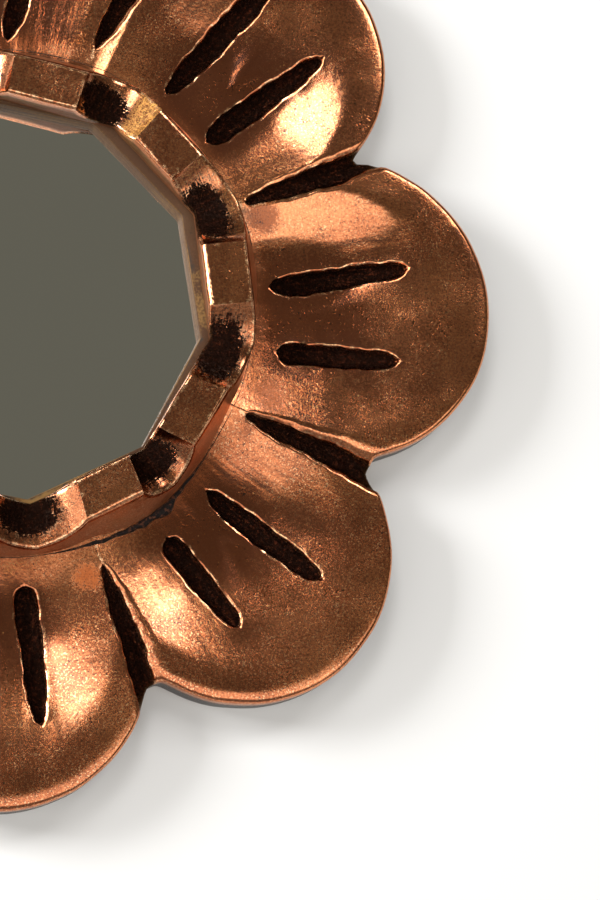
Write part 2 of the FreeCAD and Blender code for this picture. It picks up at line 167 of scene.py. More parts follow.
# carved plank
plank = {
    "back": 5.0, "top": 17.0, "core": 88.0, "lobeRadius": 46.0, "edgeRound": 1.9,
    "dishCentre": 95.5, "dishShift": -1.2, "dishSide": 38.0, "dishTip": 41.5, "dishDepth": 4.5,
    "dishFloor": 0.30, "troughNarrow": 0.0002, "troughFall": 0.25, "innerShare": 0.62, "topShallow": 0.55,
    "frontStart": 72.5, "lipReach": 58.0, "lipRound": 0.3, "rabbetReach": 66.0, "rabbetTop": 13.0,
    "grooveDepth": 3.0, "grooveLip": 0.5, "ragged": 0.26, "webBlend": 0.8, "edgeWear": 0.22,
    "cutMiddle": 105.0, "cutWindow": 0.16, "cutInner": 78, "rimFall": 0.8, "rimWide": 5,
    "gapLines": 17, "frontRows": 84, "seed": 11, "smoothAngle": 50,
}
farOutside = -6.0  # what a black cut's mask says a long way from any cut, in mm
# each petal from the right one anticlockwise: turn, reach and radius, and how wide the hollow's floor
# is on its clockwise and on its anticlockwise side, which makes that slope steep or easy
petals = [
    (1.3, 102.3, 46.5, 0.26, 0.56), (45.5, 107.3, 42.1, 0.46, 0.44), (89.6, 103.0, 46.0, 0.15, 0.30),
    (135.5, 103.5, 45.3, 0.30, 0.40), (179.7, 102.7, 46.5, 0.38, 0.28), (225.2, 104.1, 45.5, 0.30, 0.36),
    (270.5, 105.1, 45.4, 0.28, 0.46), (315.1, 103.0, 45.2, 0.42, 0.41),
]
# each gouge cut: reach and turn of its inner end, of its outer end, half width, and how square
# its inner and outer ends are
grooves = [
    (84.9, -8, 121.2, -6.3, 3.35, 9, 5), (82.4, 5.7, 124.2, 7.2, 3.3, 6.5, 6),
    (81.7, 39.8, 125.8, 39.4, 3.5, 7, 3.2), (83.5, 52.8, 128.7, 51.4, 3.6, 3, 5),
    (79.5, 88.6, 124, 82.6, 3.2, 4.5, 5), (83.6, 96.3, 122.8, 95.2, 3.2, 5, 5),
    (84.2, 128.2, 123.1, 128.9, 3.3, 6, 3), (82.5, 141.8, 124, 141.2, 3.2, 3.5, 6),
    (83.6, 173.6, 125.6, 173.3, 3.2, 4, 6), (84.9, 186.8, 122, 186.2, 3.3, 7, 3),
    (82.5, 218.5, 124.7, 219.3, 3.25, 3.5, 6), (84, 231.9, 124.6, 231.2, 3.3, 6.5, 3),
    (83.3, 262, 124.4, 262.1, 3.2, 4, 5), (85.6, 276.4, 126.1, 276.6, 3.4, 8, 2.6),
    (86.3, 306.4, 119.4, 307.2, 3.5, 6, 2.8), (83.3, 318.9, 125.6, 320.2, 3.45, 3.4, 3.6),
]
# the pointed cuts between petals: start, turn there, end, turn there, half width at the end,
# bevel on the clockwise and on the anticlockwise side, how much each side closes in at the edge,
# and how far out the wood reaches between the two petals
veins = [
    (80.8, 24.2, 122, 23, 4.6, 1.1, 1.4, 0.55, 0, 118.3),
    (83, 70.3, 124, 66.9, 4.2, 1.4, 1.2, 0.2, 0.2, 120.5),
    (81.5, 112.6, 124, 112.6, 4.3, 1.6, 1.6, 0.2, 0.2, 120),
    (81, 157.6, 124, 157.6, 4.3, 1.2, 2.4, 0.2, 0.1, 120),
    (82, 202.6, 124, 202.4, 4.3, 2, 1.2, 0.1, 0.3, 120),
    (81.5, 247.2, 124, 247.3, 4.3, 1.3, 2.3, 0.2, 0.1, 120.5),
    (84.6, 292.2, 124, 291.4, 4, 1, 2.9, 0.1, 0.15, 122.1),
    (80.6, 336.6, 124, 336.4, 4.3, 0.9, 3.1, 0.1, 0.25, 121),
]
# where handling has rubbed the leaf down to its red ground: turn, reach, size, how much
rubs = [
    (20.0, 85.0, 6.0, 1.25), (28.5, 84.0, 4.0, 0.6), (-17.5, 85.0, 7.5, 1.05), (-26.5, 82.5, 4.0, 0.8),
    (-71.5, 86.0, 6.0, 1.1), (-64.0, 84.0, 4.0, 0.6), (74.0, 84.0, 5.0, 0.6), (109.0, 83.5, 5.0, 0.6),
    (161.0, 84.0, 6.0, 0.9), (199.0, 85.0, 5.5, 0.8), (251.0, 85.0, 6.0, 0.9), (-6.5, 124.0, 2.2, 0.7),
    (7.5, 128.0, 2.0, 0.5), (-40.5, 126.5, 2.4, 0.6),
]
# uneven carving of the whole face: seed, cell and height
faceWaves = ((5, 13, 0.035), (6, 5, 0.014), (7, 2.2, 0.006))


def petalOutline(turn):
    # reach of the flower's edge, with the wood that joins the petals in the notches
    best = np.full(turn.shape, plank["core"])
    for middle, reach, radius, _, _ in petals:
        off = wrapped(turn - math.radians(middle))
        side = reach * np.sin(off)
        hit = reach * np.cos(off) + np.sqrt(np.maximum(radius ** 2 - side ** 2, 0))
        best = np.where((np.abs(side) < radius) & (np.cos(off) > 0), np.maximum(best, hit), best)
    web = np.interp(np.degrees(turn), [row[3] for row in veins], [row[9] for row in veins], period=360)
    best = np.logaddexp(best / plank["webBlend"], web / plank["webBlend"]) * plank["webBlend"]
    wearAndHighlight = patchNoise(3, 9, best * np.cos(turn), best * np.sin(turn))
    return best + plank["edgeWear"] * wearAndHighlight


# cuts in the order in which they go round, as columns: the two ends' reach and turn, half width, then
# two numbers for the ends of a gouge cut or the bevels of a pointed one, which kind, and the closing in
cuts = []
for number, vein in enumerate(veins):
    cuts += [groove + (0, 0.0, 0.0) for groove in grooves[2 * number:2 * number + 2]]
    cuts.append(vein[:7] + (1,) + vein[7:9])
cutStart, startTurn, cutEnd, endTurn, cutWide, firstForm, lastForm, cutKind, firstClose, lastClose = np.array(cuts).T
isVein = cutKind > 0.5
cutCount = len(cuts)
cutPhase = np.random.default_rng(plank["seed"]).uniform(0, tau, (cutCount, 2, 4))
# the wavering of a cut's edges: strength and length in mm
cutWaves = ((0.6, 2.3), (0.45, 0.95), (0.6, 5.3))


def cutPart(cut, reach):
    return np.clip((reach - cutStart[cut]) / (cutEnd[cut] - cutStart[cut]), 0, 1)


def cutTurn(cut, reach):
    part = cutPart(cut, reach)
    first, last = np.radians(startTurn[cut]), np.radians(endTurn[cut])
    wander = 0.22 * np.sin(reach / 6.5 + cutPhase[cut, 0, 3]) * np.sin(part * math.pi)
    return first + (last - first) * part + wander / np.maximum(reach, 1)


def cutHalf(cut, reach, side):
    # half width of a cut on one side (0 or 1), in mm
    part = cutPart(cut, reach)
    inside = (reach > cutStart[cut]) & (reach < cutEnd[cut])
    square = np.where(part < 0.5, firstForm[cut], lastForm[cut])
    gouge = np.sqrt(np.maximum(1 - np.abs(2 * part - 1) ** square, 0))
    gouge = gouge * (1 + 0.08 * np.sin((part - 0.5) * 2.2) * np.sign(lastForm[cut] - firstForm[cut]))
    closing = np.where(side == 0, firstClose[cut], lastClose[cut])
    spear = part ** 0.42 * (1 - closing * ease(0.66, 0.98, part))
    half = cutWide[cut] * np.where(isVein[cut], spear, gouge * inside)
    phase = cutPhase[cut, side]
    rough = sum(strength * np.sin(reach / length + phase[..., k]) for k, (strength, length) in enumerate(cutWaves))
    return half + plank["ragged"] * rough * np.minimum(half, 1)


def cutLip(cut, reach, side):
    bevel = np.where(side == 0, firstForm[cut], lastForm[cut])
    lip = plank["grooveLip"]
    return np.where(isVein[cut], lip + (bevel - lip) * cutPart(cut, reach) ** 0.8, lip)


# lines of points along each cut: side, whether on the lip, and how far across as a share
innerLines = (0.35, 0.65, 0.85, 0.95, 1.0)
outerLines = (0.35, 0.7, 1.0, 1.9)
halfSpecs = [(0, k) for k in innerLines] + [(1, k) for k in outerLines]
lineSpecs = [(-1,) + spec for spec in halfSpecs[::-1]] + [(1, 0, 0.0)] + [(1,) + spec for spec in halfSpecs]
lineSide, lineOnLip, lineShare = np.array(lineSpecs).T


def lineTurn(cut, line, reach):
    sign, share = lineSide[line], lineShare[line]
    side = (sign > 0).astype(int)
    half = np.maximum(cutHalf(cut, reach, side), 0.3)
    offset = np.where(lineOnLip[line] > 0, half + share * cutLip(cut, reach, side), share * half)
    return cutTurn(cut, reach) + sign * offset / np.maximum(reach, 1)


lineCount = len(lineSpecs)
perCut = lineCount + plank["gapLines"]
columnCut = np.repeat(np.arange(cutCount), perCut)
columnSlot = np.tile(np.arange(perCut), cutCount)
isGap = columnSlot >= lineCount
leftLine = np.where(isGap, lineCount - 1, columnSlot)
gapShare = np.where(isGap, (columnSlot - lineCount + 1) / (plank["gapLines"] + 1), 0.0)


def plankTurn(reach):
    # angle of every column at its own reach
    here = lineTurn(columnCut, leftLine, reach)
    following = lineTurn((columnCut + 1) % cutCount, np.zeros_like(leftLine), reach)
    following = np.where(columnCut == cutCount - 1, following + tau, following)
    return here + (following - here) * gapShare


def polygonReach(turn, flat, sides=10, start=9.0):
    step = tau / sides
    off = (turn - math.radians(start) + step / 2) % step - step / 2
    return flat / np.cos(off)


def petalHollows(turn, reach):
    # depth of the hollows, and each point's turn and distance in its petal
    x, z = reach * np.cos(turn), reach * np.sin(turn)
    around, away = np.zeros(turn.shape), np.full(turn.shape, 99.0)
    hollow = np.zeros(turn.shape)
    for middle, lobe, radius, clockwise, anticlockwise in petals:
        axis = math.radians(middle)
        centre = plank["dishCentre"] + (lobe - 103) * 0.5
        along = x * math.cos(axis) + z * math.sin(axis) - centre
        cross = z * math.cos(axis) - x * math.sin(axis) - plank["dishShift"]
        # towards the ring the hollow runs on as a trough that narrows with the petal
        cross = cross * (1 + plank["troughNarrow"] * np.maximum(-along, 0) ** 2)
        along = np.where(along > 0, along, along * plank["troughFall"])
        apart = np.hypot(along, cross)
        turned = np.arctan2(cross, along)
        tip = ease(0.1, 1.0, np.cos(turned))
        rim = (plank["dishSide"] + (plank["dishTip"] - plank["dishSide"]) * tip) * radius / plank["lobeRadius"]
        rim = rim + 0.5 * np.sin(turned * 3 + middle)
        # even slopes that meet the rim in a crease and run out in a rounded floor, flatter at the tip
        floor = plank["dishFloor"] - 0.16 * tip
        floor = floor + (clockwise - plank["dishFloor"]) * ease(0.15, 0.75, -np.sin(turned))
        floor = floor + (anticlockwise - plank["dishFloor"]) * ease(0.15, 0.75, np.sin(turned))
        slope = (1 - apart / rim) / (1 - floor)
        cone = -np.logaddexp(-slope * 7, -7.0) / 7
        sharp = 28 - 19 * tip
        cone = np.logaddexp(cone * sharp, 0) / sharp
        hollow = np.maximum(hollow, plank["dishDepth"] * cone)
        near = apart < away
        around, away = np.where(near, turned + axis, around), np.where(near, apart, away)
    # in the flower's lower half and at its top the hollows grow shallow towards the ring
    shallow = (1 - plank["innerShare"]) * ease(0.3, 0.65, -np.sin(turn)) * ease(92, 68, reach)
    topShallow = plank["topShallow"] * ease(0.925, 0.965, np.sin(turn)) * ease(125, 95, reach)
    return hollow * (1 - np.maximum(shallow, topShallow)) * ease(71, 74.5, reach), around, away


def plankRelief(turn, reach):
    # height of the carved face, how far inside a black cut a point is, and the petal's own map
    x, z = reach * np.cos(turn), reach * np.sin(turn)
    hollow, around, away = petalHollows(turn, reach)
    height = plank["top"] - hollow
    for seed, cell, strength in faceWaves:
        height = height + strength * patchNoise(seed, cell, x, z)
    drop, inside = np.zeros(turn.shape), np.full(turn.shape, farOutside)
    for cut in range(cutCount):
        aside = np.abs(wrapped(turn - cutTurn(np.int64(cut), np.full(turn.shape, plank["cutMiddle"]))))
        near = (aside < plank["cutWindow"]) & (reach > plank["cutInner"])
        r, t = reach[near], turn[near]
        index = np.full(r.shape, cut)
        offset = wrapped(t - cutTurn(index, r)) * r
        side = (offset > 0).astype(int)
        half, lip = cutHalf(index, r, side), cutLip(index, r, side)
        vein = isVein[cut]
        out = np.abs(offset) - half
        chipped = 0.6 * patchNoise(9, 4, x[near], z[near]) + 0.6 * patchNoise(10, 1.5, x[near], z[near])
        ends = half / cutWide[cut]
        if vein:
            bevel = np.clip(1 - np.maximum(out, 0) / lip, 0, 1) ** 1.2
            lipDrop = (0.60 + 0.15 * chipped) * lip * bevel * ease(0.0, 0.25, ends)
            depth = np.maximum(half, 0) * 0.95
        else:
            beyond = np.maximum(np.maximum(cutStart[cut] - r, r - cutEnd[cut]), 0)
            far = np.hypot(np.maximum(out, 0), beyond)
            lipDrop = 0.36 * np.clip(0.5 + chipped, 0.05, 1.4) * np.clip(1 - far / lip, 0, 1) ** 1.5
            depth = plank["grooveDepth"] * np.sqrt(np.clip(ends, 0, 1))
        share = np.clip(np.abs(offset) / np.maximum(half, 0.05), 0, 1)
        dig = depth * (1 - share ** 2.6) ** 0.62
        burr = 0.09 * np.exp(-((out - lip - 0.1) / 0.45) ** 2) * (0.6 + 0.6 * np.sin(r / 1.7 + cutPhase[cut, 1, 3]))
        burr = burr * ease(0.05, 0.3, ends) * np.clip(0.35 + 1.3 * patchNoise(8, 3.5, x[near], z[near]), 0, 1.3)
        drop[near] = np.maximum(drop[near], lipDrop + np.where(out < 0, dig, 0))
        height[near] += burr
        inside[near] = np.maximum(inside[near], np.where((half > 0.05) | vein, -out, farOutside))
    return height - drop, inside, around, away


def makePlank():
    rim, back, top, rabbet = plank["edgeRound"], plank["back"], plank["top"], plank["rabbetReach"]
    columns = cutCount * perCut
    outline = np.full(columns, 120.0)
    for _ in range(12):
        outline = 0.5 * outline + 0.5 * petalOutline(plankTurn(outline))
    # rows from the opening's lip over the face, round the edge and back under to the rabbet
    rows, kinds = [], []

    def addRow(rowReach, height, kind):
        rows.append((rowReach + np.zeros(columns), height))
        kinds.append(kind)

    lip = polygonReach(plankTurn(np.full(columns, plank["lipReach"])), plank["lipReach"])
    for height in (plank["rabbetTop"], 14.4, 15.8, 16.7):
        addRow(lip, height, "lip")
    addRow(lip + plank["lipRound"], top, "lip")
    for far in (64.0, 70.0):
        addRow(far, top, "lip")
    start = plank["frontStart"]
    # rows lie closer together where the cuts begin and end
    fine = np.linspace(0, 1, 1000)
    crowd = 1 + 1.4 * ease(0.06, 0.10, fine) * ease(0.25, 0.19, fine)
    crowd = crowd + 1.1 * ease(0.58, 0.64, fine) * ease(0.84, 0.79, fine)
    crowd = np.cumsum(crowd) - crowd[0]
    for part in np.interp(np.linspace(0, 1, plank["frontRows"]), crowd / crowd[-1], fine):
        addRow(start + (outline - rim - start) * part, None, "front")
    for angle in (15, 32, 50, 70, 90):
        lean = math.radians(angle)
        addRow(outline - rim * (1 - math.sin(lean)), ("round", rim * (1 - math.cos(lean))), "front")
    backRound = 0.35
    for part in (0.3, 0.6, 0.85):
        addRow(outline, ("side", part), "side")
    addRow(outline - 0.15, back + backRound, "side")
    addRow(outline - 0.5, back, "back")
    for part in (0.04, 0.2, 0.4, 0.6, 0.8, 0.96):
        addRow(outline - 0.5 + (rabbet + 0.5 - outline) * part, back, "back")
    for height in (back + 0.3, 7.5, 10.5, 12.6):
        addRow(rabbet, height, "back")
    addRow(rabbet - 0.4, plank["rabbetTop"], "back")
    addRow((lip + rabbet) / 2, plank["rabbetTop"], "back")

    count = len(rows)
    reachGrid = np.array([entry[0] for entry in rows])
    turnGrid = np.array([plankTurn(entry[0]) for entry in rows])
    carved, inside, around, away = plankRelief(turnGrid, reachGrid)
    heights = np.empty((count, columns))
    for number, (_, height) in enumerate(rows):
        if height is None:
            # the rim falls away gently towards the edge, most of all at the lower petals
            rimPart = np.clip((reachGrid[number] - outline + plank["rimWide"]) / plank["rimWide"], 0, 1)
            lowness = 0.2 + 0.8 * ease(0.0, 0.8, -np.sin(turnGrid[number]))
            heights[number] = carved[number] - plank["rimFall"] * lowness * rimPart ** 2
            edgeHeight, edgeInside = heights[number], inside[number]
        elif isinstance(height, tuple) and height[0] == "round":
            room = np.minimum(edgeHeight - back - 1.5, rim) / rim
            heights[number] = foot = edgeHeight - height[1] * room
            inside[number] = np.maximum(edgeInside, inside[number])
        elif isinstance(height, tuple):
            heights[number] = foot + (back + backRound - foot) * height[1]
        else:
            heights[number] = height
    # the leaf goes round the edge and a little way down the side
    sideStart = kinds.index("side")
    sidePaintAndShade = np.zeros((count, columns))
    sidePaintAndShade[sideStart - 2:sideStart + 7] = np.array([0.1, 0.3, 0.68, 1.0, 1.0, 1.0, 0.9, 0.5, 0.0])[:, None]
    # on the opening's lip rows the same mask paints the shade of the joint under the ring
    sidePaintAndShade[:5] = np.array([0.45, 0.30, 0.10, 0.35, 0.50])[:, None]
    rawWood = np.where(np.array(kinds) == "back", 1.0, 0.0)[:, None] * np.ones(columns)
    # red ground shows where the leaf is rubbed, near the tips of the pointed cuts
    rub = np.zeros((count, columns))
    for spotTurn, spotReach, size, strength in rubs:
        dx = reachGrid * np.cos(turnGrid) - spotReach * math.cos(math.radians(spotTurn))
        dz = reachGrid * np.sin(turnGrid) - spotReach * math.sin(math.radians(spotTurn))
        rub = np.maximum(rub, strength * np.exp(-(np.hypot(dx, dz) / size) ** 2))
    rub = rub * (reachGrid > 76.5)
    foot = ease(86.0, 78.5, reachGrid) * (reachGrid > 76)
    dustAndShade = foot * 0.35
    lipRows = kinds.index("front")
    # the opening's lip rows take the olive tarnish in full and painted shade through the dust mask
    foot[:lipRows], dustAndShade[:lipRows] = 1.0, 1.0
    sheet, row, column = rolledSheet("carvedPetals", count, columns)
    masks = {"inside": inside, "sidePaintAndShade": sidePaintAndShade, "rawWood": rawWood, "rub": rub, "foot": foot,
             "dustAndShade": dustAndShade, "petalAround": around, "petalAway": away}
    closeSheet(sheet, row, column, turnGrid, reachGrid, heights, masks, plank["smoothAngle"])
    return sheet


carvedPetals = makePlank()
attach(carvedPetals, "mirror")
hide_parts("petal_plate")
print("carved plank:", len(carvedPetals.data.polygons), "faces")


# notched ring
ring = {
    "foot": 17.0, "seat": 13.6, "low": 11.8, "top": 26.0, "edge": 0.75, "notchDepth": 6.0,
    "blockLines": 26, "notchLines": 42, "innerRows": 9, "topRows": 14, "outerRows": 10, "smoothAngle": 40,
}
# how far out the ring's foot lies, by turn
footTable = [
    (-110, 76.2), (-80, 77.0), (-66, 77.4), (-54, 78.0), (-44, 76.9), (-29, 76.0), (-10, 76.6), (4, 77.9), (15, 78.9),
    (31, 78.2), (45, 78.0), (60, 78.0), (75, 76.5), (90, 76.0), (120, 76.6), (150, 77.0), (200, 76.8),
]
# each block: turn of its two ends at the outer edge, at the inner edge, outer and inner flat reach
blocks = np.array([
    (-0.4, 14.5, -2.0, 15.5, 73.8, 60.8), (36.7, 50.7, 35.8, 50.8, 73.2, 61.0),
    (70.0, 87.8, 69.3, 89.0, 70.8, 58.6), (109.5, 124.2, 108.6, 125.2, 72.3, 60.0),
    (145.8, 160.3, 144.6, 161.4, 72.8, 60.2), (181.2, 196.5, 180.4, 197.6, 72.0, 59.8),
    (217.4, 232.4, 216.2, 233.3, 72.4, 60.0), (253.2, 268.9, 252.4, 269.8, 71.8, 59.8),
    (290.9, 305.6, 291.9, 308.2, 71.6, 59.6), (322.3, 337.7, 319.6, 337.2, 71.3, 59.4),
])
# black blot in the notch after each block: how far to the side, reach, half width, half length,
# and on which slope a painted highlight in yellow gold lies, as plus or minus how much
blots = np.array([
    (-0.12, 67.2, 9.4, 6.6, 0.45), (0.30, 66.0, 7.8, 6.3, -0.8), (0.0, 66.0, 8.6, 6.2, 0.3),
    (-0.1, 66.5, 8.4, 6.4, 0.0), (0.1, 66.0, 8.2, 6.0, 0.4), (0.0, 66.5, 8.6, 6.2, 0.0),
    (-0.15, 66.0, 8.2, 6.1, -0.3), (-0.22, 65.6, 9.4, 6.9, 0.2), (-0.18, 65.2, 8.1, 6.9, 0.1),
    (-0.05, 66.4, 10.0, 7.0, -0.5),
])
# uneven faces of the ring: seed, cell and height
ringWaves = {"wall": (21, 5, 0.12), "tilt": (22, 13, 0.10), "dents": (23, 4, 0.05), "side": (24, 7, 0.14)}
blockCount = len(blocks)
blockMiddle = (blocks[:, 0] + blocks[:, 1]) / 2


def flatsReach(turn, column):
    # nearest of the ten straight edges at this angle
    best = np.full(turn.shape, 999.0)
    for number in range(blockCount):
        off = wrapped(turn - math.radians(blockMiddle[number]))
        best = np.where(np.abs(off) < 0.9, np.minimum(best, blocks[number, column] / np.cos(off)), best)
    return best


def footReach(turn):
    angles, reaches = zip(*footTable)
    return np.interp(np.degrees(turn), angles, reaches, period=360)


def blockEnd(number, end, reach):
    # turn of a block's end at a reach, in degrees; the number may pass the last block
    lap, number = number // blockCount, number % blockCount
    part = np.clip((reach - 60) / 12, -0.2, 1.3)
    inner, outer = blocks[number, 2 + end], blocks[number, end]
    return inner + (outer - inner) * part + 360.0 * lap


def crowded(part, amount):
    # shares from 0 to 1 that lie closer together towards both ends
    return amount * (0.5 - 0.5 * np.cos(math.pi * part)) + (1 - amount) * part


perBlock = ring["blockLines"] + ring["notchLines"]
ringBlock = np.repeat(np.arange(blockCount), perBlock)
ringSlot = np.tile(np.arange(perBlock), blockCount)
inNotch = ringSlot >= ring["blockLines"]
ringShare = np.where(inNotch, crowded((ringSlot - ring["blockLines"]) / ring["notchLines"], 0.55),
                     crowded(ringSlot / ring["blockLines"], 0.75))


def ringTurn(reach):
    first = np.where(inNotch, blockEnd(ringBlock, 1, reach), blockEnd(ringBlock, 0, reach))
    last = np.where(inNotch, blockEnd(ringBlock + 1, 0, reach), blockEnd(ringBlock, 1, reach))
    return np.radians(first + (last - first) * ringShare)


def notchDrop(reach):
    # how deep the notch is at every column, and how near its middle, from 1 to 0 at its edges
    width = np.radians(blockEnd(ringBlock + 1, 0, reach) - blockEnd(ringBlock, 1, reach)) * reach
    across = np.where(inNotch, np.abs(2 * ringShare - 1), 1.0)
    half = width / 2
    depth = ring["notchDepth"]
    curve = (half ** 2 + depth ** 2) / (2 * depth)
    drop = np.sqrt(np.maximum(curve ** 2 - (across * half) ** 2, 0)) - (curve - depth)
    return np.where(inNotch, np.maximum(drop, 0), 0.0), 1 - across


def makeRing():
    edge, foot, top, seat = ring["edge"], ring["foot"], ring["top"], ring["seat"]
    rows, heights, edgeHighlight, black = [], [], [], []
    columns = blockCount * perBlock

    # the third number is how much painted highlight the row's edge takes
    def addRow(reach, height, wearAndHighlight, painted):
        rows.append(reach)
        heights.append(height)
        edgeHighlight.append(np.full(columns, wearAndHighlight))
        black.append(np.full(columns, painted))

    inner = flatsReach(ringTurn(np.full(columns, 60.0)), 5)
    topOuter = flatsReach(ringTurn(np.full(columns, 73.0)), 4)
    innerDrop, _ = notchDrop(inner)
    outerDrop, _ = notchDrop(topOuter)
    rimHeight = top - outerDrop
    footLine = footReach(ringTurn(np.full(columns, 76.0)))
    outerTop = footLine + (topOuter - footLine) * (rimHeight - seat) / (top - seat)

    def wave(name, reach):
        turn = ringTurn(reach)
        seed, cell, strength = ringWaves[name]
        return strength * patchNoise(seed, cell, reach * np.cos(turn), reach * np.sin(turn))

    # inner wall, from the foot up
    for number in range(ring["innerRows"]):
        part = number / (ring["innerRows"] - 1)
        height = foot + (top - innerDrop - edge - foot) * part
        addRow(inner + wave("wall", inner) + 0.06 * math.sin(number * 2.1), height, 0.0, part ** 2 - 0.6)
    for angle in (30, 60):
        lean = math.radians(angle)
        addRow(inner + edge * (1 - math.cos(lean)), top - innerDrop - edge * (1 - math.sin(lean)), 1.0, 0.6)
    for part in np.linspace(0, 1, ring["topRows"]):
        reach = inner + edge + (outerTop - inner - 2 * edge) * part
        drop, _ = notchDrop(reach)
        uneven = wave("tilt", reach) + wave("dents", reach)
        addRow(reach, top - drop + uneven, 1.0 if part in (0, 1) else 0.0, 1.0)
    for angle in (60, 30):
        lean = math.radians(angle)
        addRow(outerTop - edge * (1 - math.cos(lean)), rimHeight - edge * (1 - math.sin(lean)), 1.0, 0.4)
    for number in range(ring["outerRows"]):
        part = number / (ring["outerRows"] - 1)
        height = rimHeight - edge + (ring["low"] - rimHeight + edge) * part
        reach = outerTop + (footLine - outerTop) * (rimHeight - height) / (rimHeight - seat)
        addRow(reach + wave("side", reach) * math.sin(part * math.pi), height, 0.0, -0.5 - part)
    underRows = ((np.full(columns, 73.0), foot - 0.5), (np.full(columns, 68.0), foot), (inner + 1.5, foot))
    for reach, height in underRows:
        addRow(reach, height, 0.0, -1.0)

    reachGrid = np.array(rows)
    heightGrid = np.array([np.broadcast_to(height, (columns,)) for height in heights])
    turnGrid = np.array([ringTurn(reach) for reach in rows])
    middle = np.array([notchDrop(reach)[1] for reach in rows])
    # block ends take a painted highlight, as the rounded edges do
    ends = np.where(inNotch, 0, np.exp(-np.minimum(ringShare, 1 - ringShare) * 15))
    edgeHighlightGrid = np.maximum(np.array(edgeHighlight), ends)
    # the black paint lies in blots that stop short of the edges
    aside, far, wide, long, slopeHighlight = blots[ringBlock].T
    span = np.radians(blockEnd(ringBlock + 1, 0, 67.0) - blockEnd(ringBlock, 1, 67.0)) * 67.0 / 2
    across = (2 * ringShare - 1 - aside) * span / wide
    outward = (reachGrid - far) / long
    blot = 1 - (np.abs(across) ** 2.4 + np.abs(outward) ** 2.4) ** (1 / 2.4)
    blackGrid = np.minimum(np.where(inNotch, blot * 6.0, farOutside), (np.array(black) + 0.4) * 3)
    # one slope of some notches gets a painted highlight in yellow gold
    highlightSide = np.clip(np.sign(slopeHighlight) * (2 * ringShare - 1), 0, 1)
    slopeHighlightGrid = np.where(inNotch, np.abs(slopeHighlight) * ease(0.15, 0.5, highlightSide), 0.0) * np.ones(reachGrid.shape)
    sheet, row, column = rolledSheet("notchedRing", len(rows), columns)
    # painted shadow of the joint under the ring, with its glue, over the inner wall, strongest at the foot
    jointGlueAndShade = np.zeros(reachGrid.shape)
    wall = ring["innerRows"]
    jointGlueAndShade[:wall] = np.linspace(0.62, 0.42, wall)[:, None]
    dustAndShade = np.zeros(reachGrid.shape)
    # painted shade on the inner wall, strongest at its foot; dust on the outer wall
    dustAndShade[:wall] = np.interp(np.arange(wall), [0, 4, 7], [1.0, 0.95, 0.35])[:, None]
    dustAndShade[-ring["outerRows"] - 2:] = 0.65
    masks = {"inside": blackGrid, "edgeHighlight": edgeHighlightGrid, "sidePaintAndShade": jointGlueAndShade, "slopeHighlight": slopeHighlightGrid, "dustAndShade": dustAndShade,
             "rawWood": (np.arange(len(rows)) >= len(rows) - len(underRows))[:, None] * np.ones(columns),
             "rub": np.where(inNotch, ease(0.05, 0.35, middle), 0.0) * 0.35,
             "foot": ease(foot + 8, foot + 1, heightGrid),
             "petalAround": turnGrid, "petalAway": reachGrid}
    closeSheet(sheet, row, column, turnGrid, reachGrid, heightGrid, masks, ring["smoothAngle"])
    return sheet


notchedRing = makeRing()
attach(notchedRing, "mirror")
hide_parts("bezel_ring")
print("notched ring:", len(notchedRing.data.polygons), "faces")


# glue seam
seam = {"reach": 77.3, "bead": 0.5, "thin": 0.12, "thick": 2.3, "from": -80.0, "to": -30.0, "fullFrom": -60,
        "fullTo": -50, "segments": 900, "sides": 12}


def makeSeam():
    # a bead of glue round the ring's foot, thick and lumpy at the lower right
    deselect()
    bpy.ops.mesh.primitive_torus_add(major_radius=seam["reach"] * mm, minor_radius=seam["bead"] * mm,
                                     major_segments=seam["segments"], minor_segments=seam["sides"])
    bead = newest("glueSeam")
    spots = readPoints(bead) / mm
    turn = np.arctan2(spots[:, 1], spots[:, 0])
    out = (np.hypot(spots[:, 0], spots[:, 1]) - seam["reach"]) / seam["bead"]
    up = spots[:, 2] / seam["bead"]
    angle = np.degrees(turn)
    thick = ease(seam["from"], seam["fullFrom"], angle) * ease(seam["to"], seam["fullTo"], angle)
    x, z = 77 * np.cos(turn), 77 * np.sin(turn)
    lumps = 1 + 0.4 * patchNoise(31, 2.3, x, z) + 0.25 * patchNoise(32, 1.3, x, z) + 0.3 * patchNoise(33, 6, x, z)
    broken = np.clip(0.55 + 0.6 * patchNoise(34, 9, x, z), 0.15, 1.3)
    size = (seam["thin"] + (seam["thick"] - seam["thin"]) * thick ** 1.3 * broken) * lumps
    strand = patchNoise(35, 2.1, x, z) * thick * 0.4
    reach = footReach(turn) + 0.1 + (out * 0.9 + 0.75) * size + strand
    surface = plankRelief(turn, footReach(turn) + 0.3)[0]
    height = surface + up * size * 0.55
    bead.data.vertices.foreach_set("co", hung(turn, reach, height).ravel())
    faceOutwards()
    bpy.ops.object.shade_smooth()
    return bead


glueSeam = makeSeam()
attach(glueSeam, "mirror")
print("glue seam done")


# felt pads
pads = {"side": 96, "shoulder": 0.9, "steps": 3, "insets": (0.5, 0.8, 1.2, 1.5), "fuzz": 0.22, "radius": 7,
        "dish": 0.08}
padNodes = ("wall_pad_upper_right", "wall_pad_upper_left", "wall_pad_lower_left", "wall_pad_lower_right")


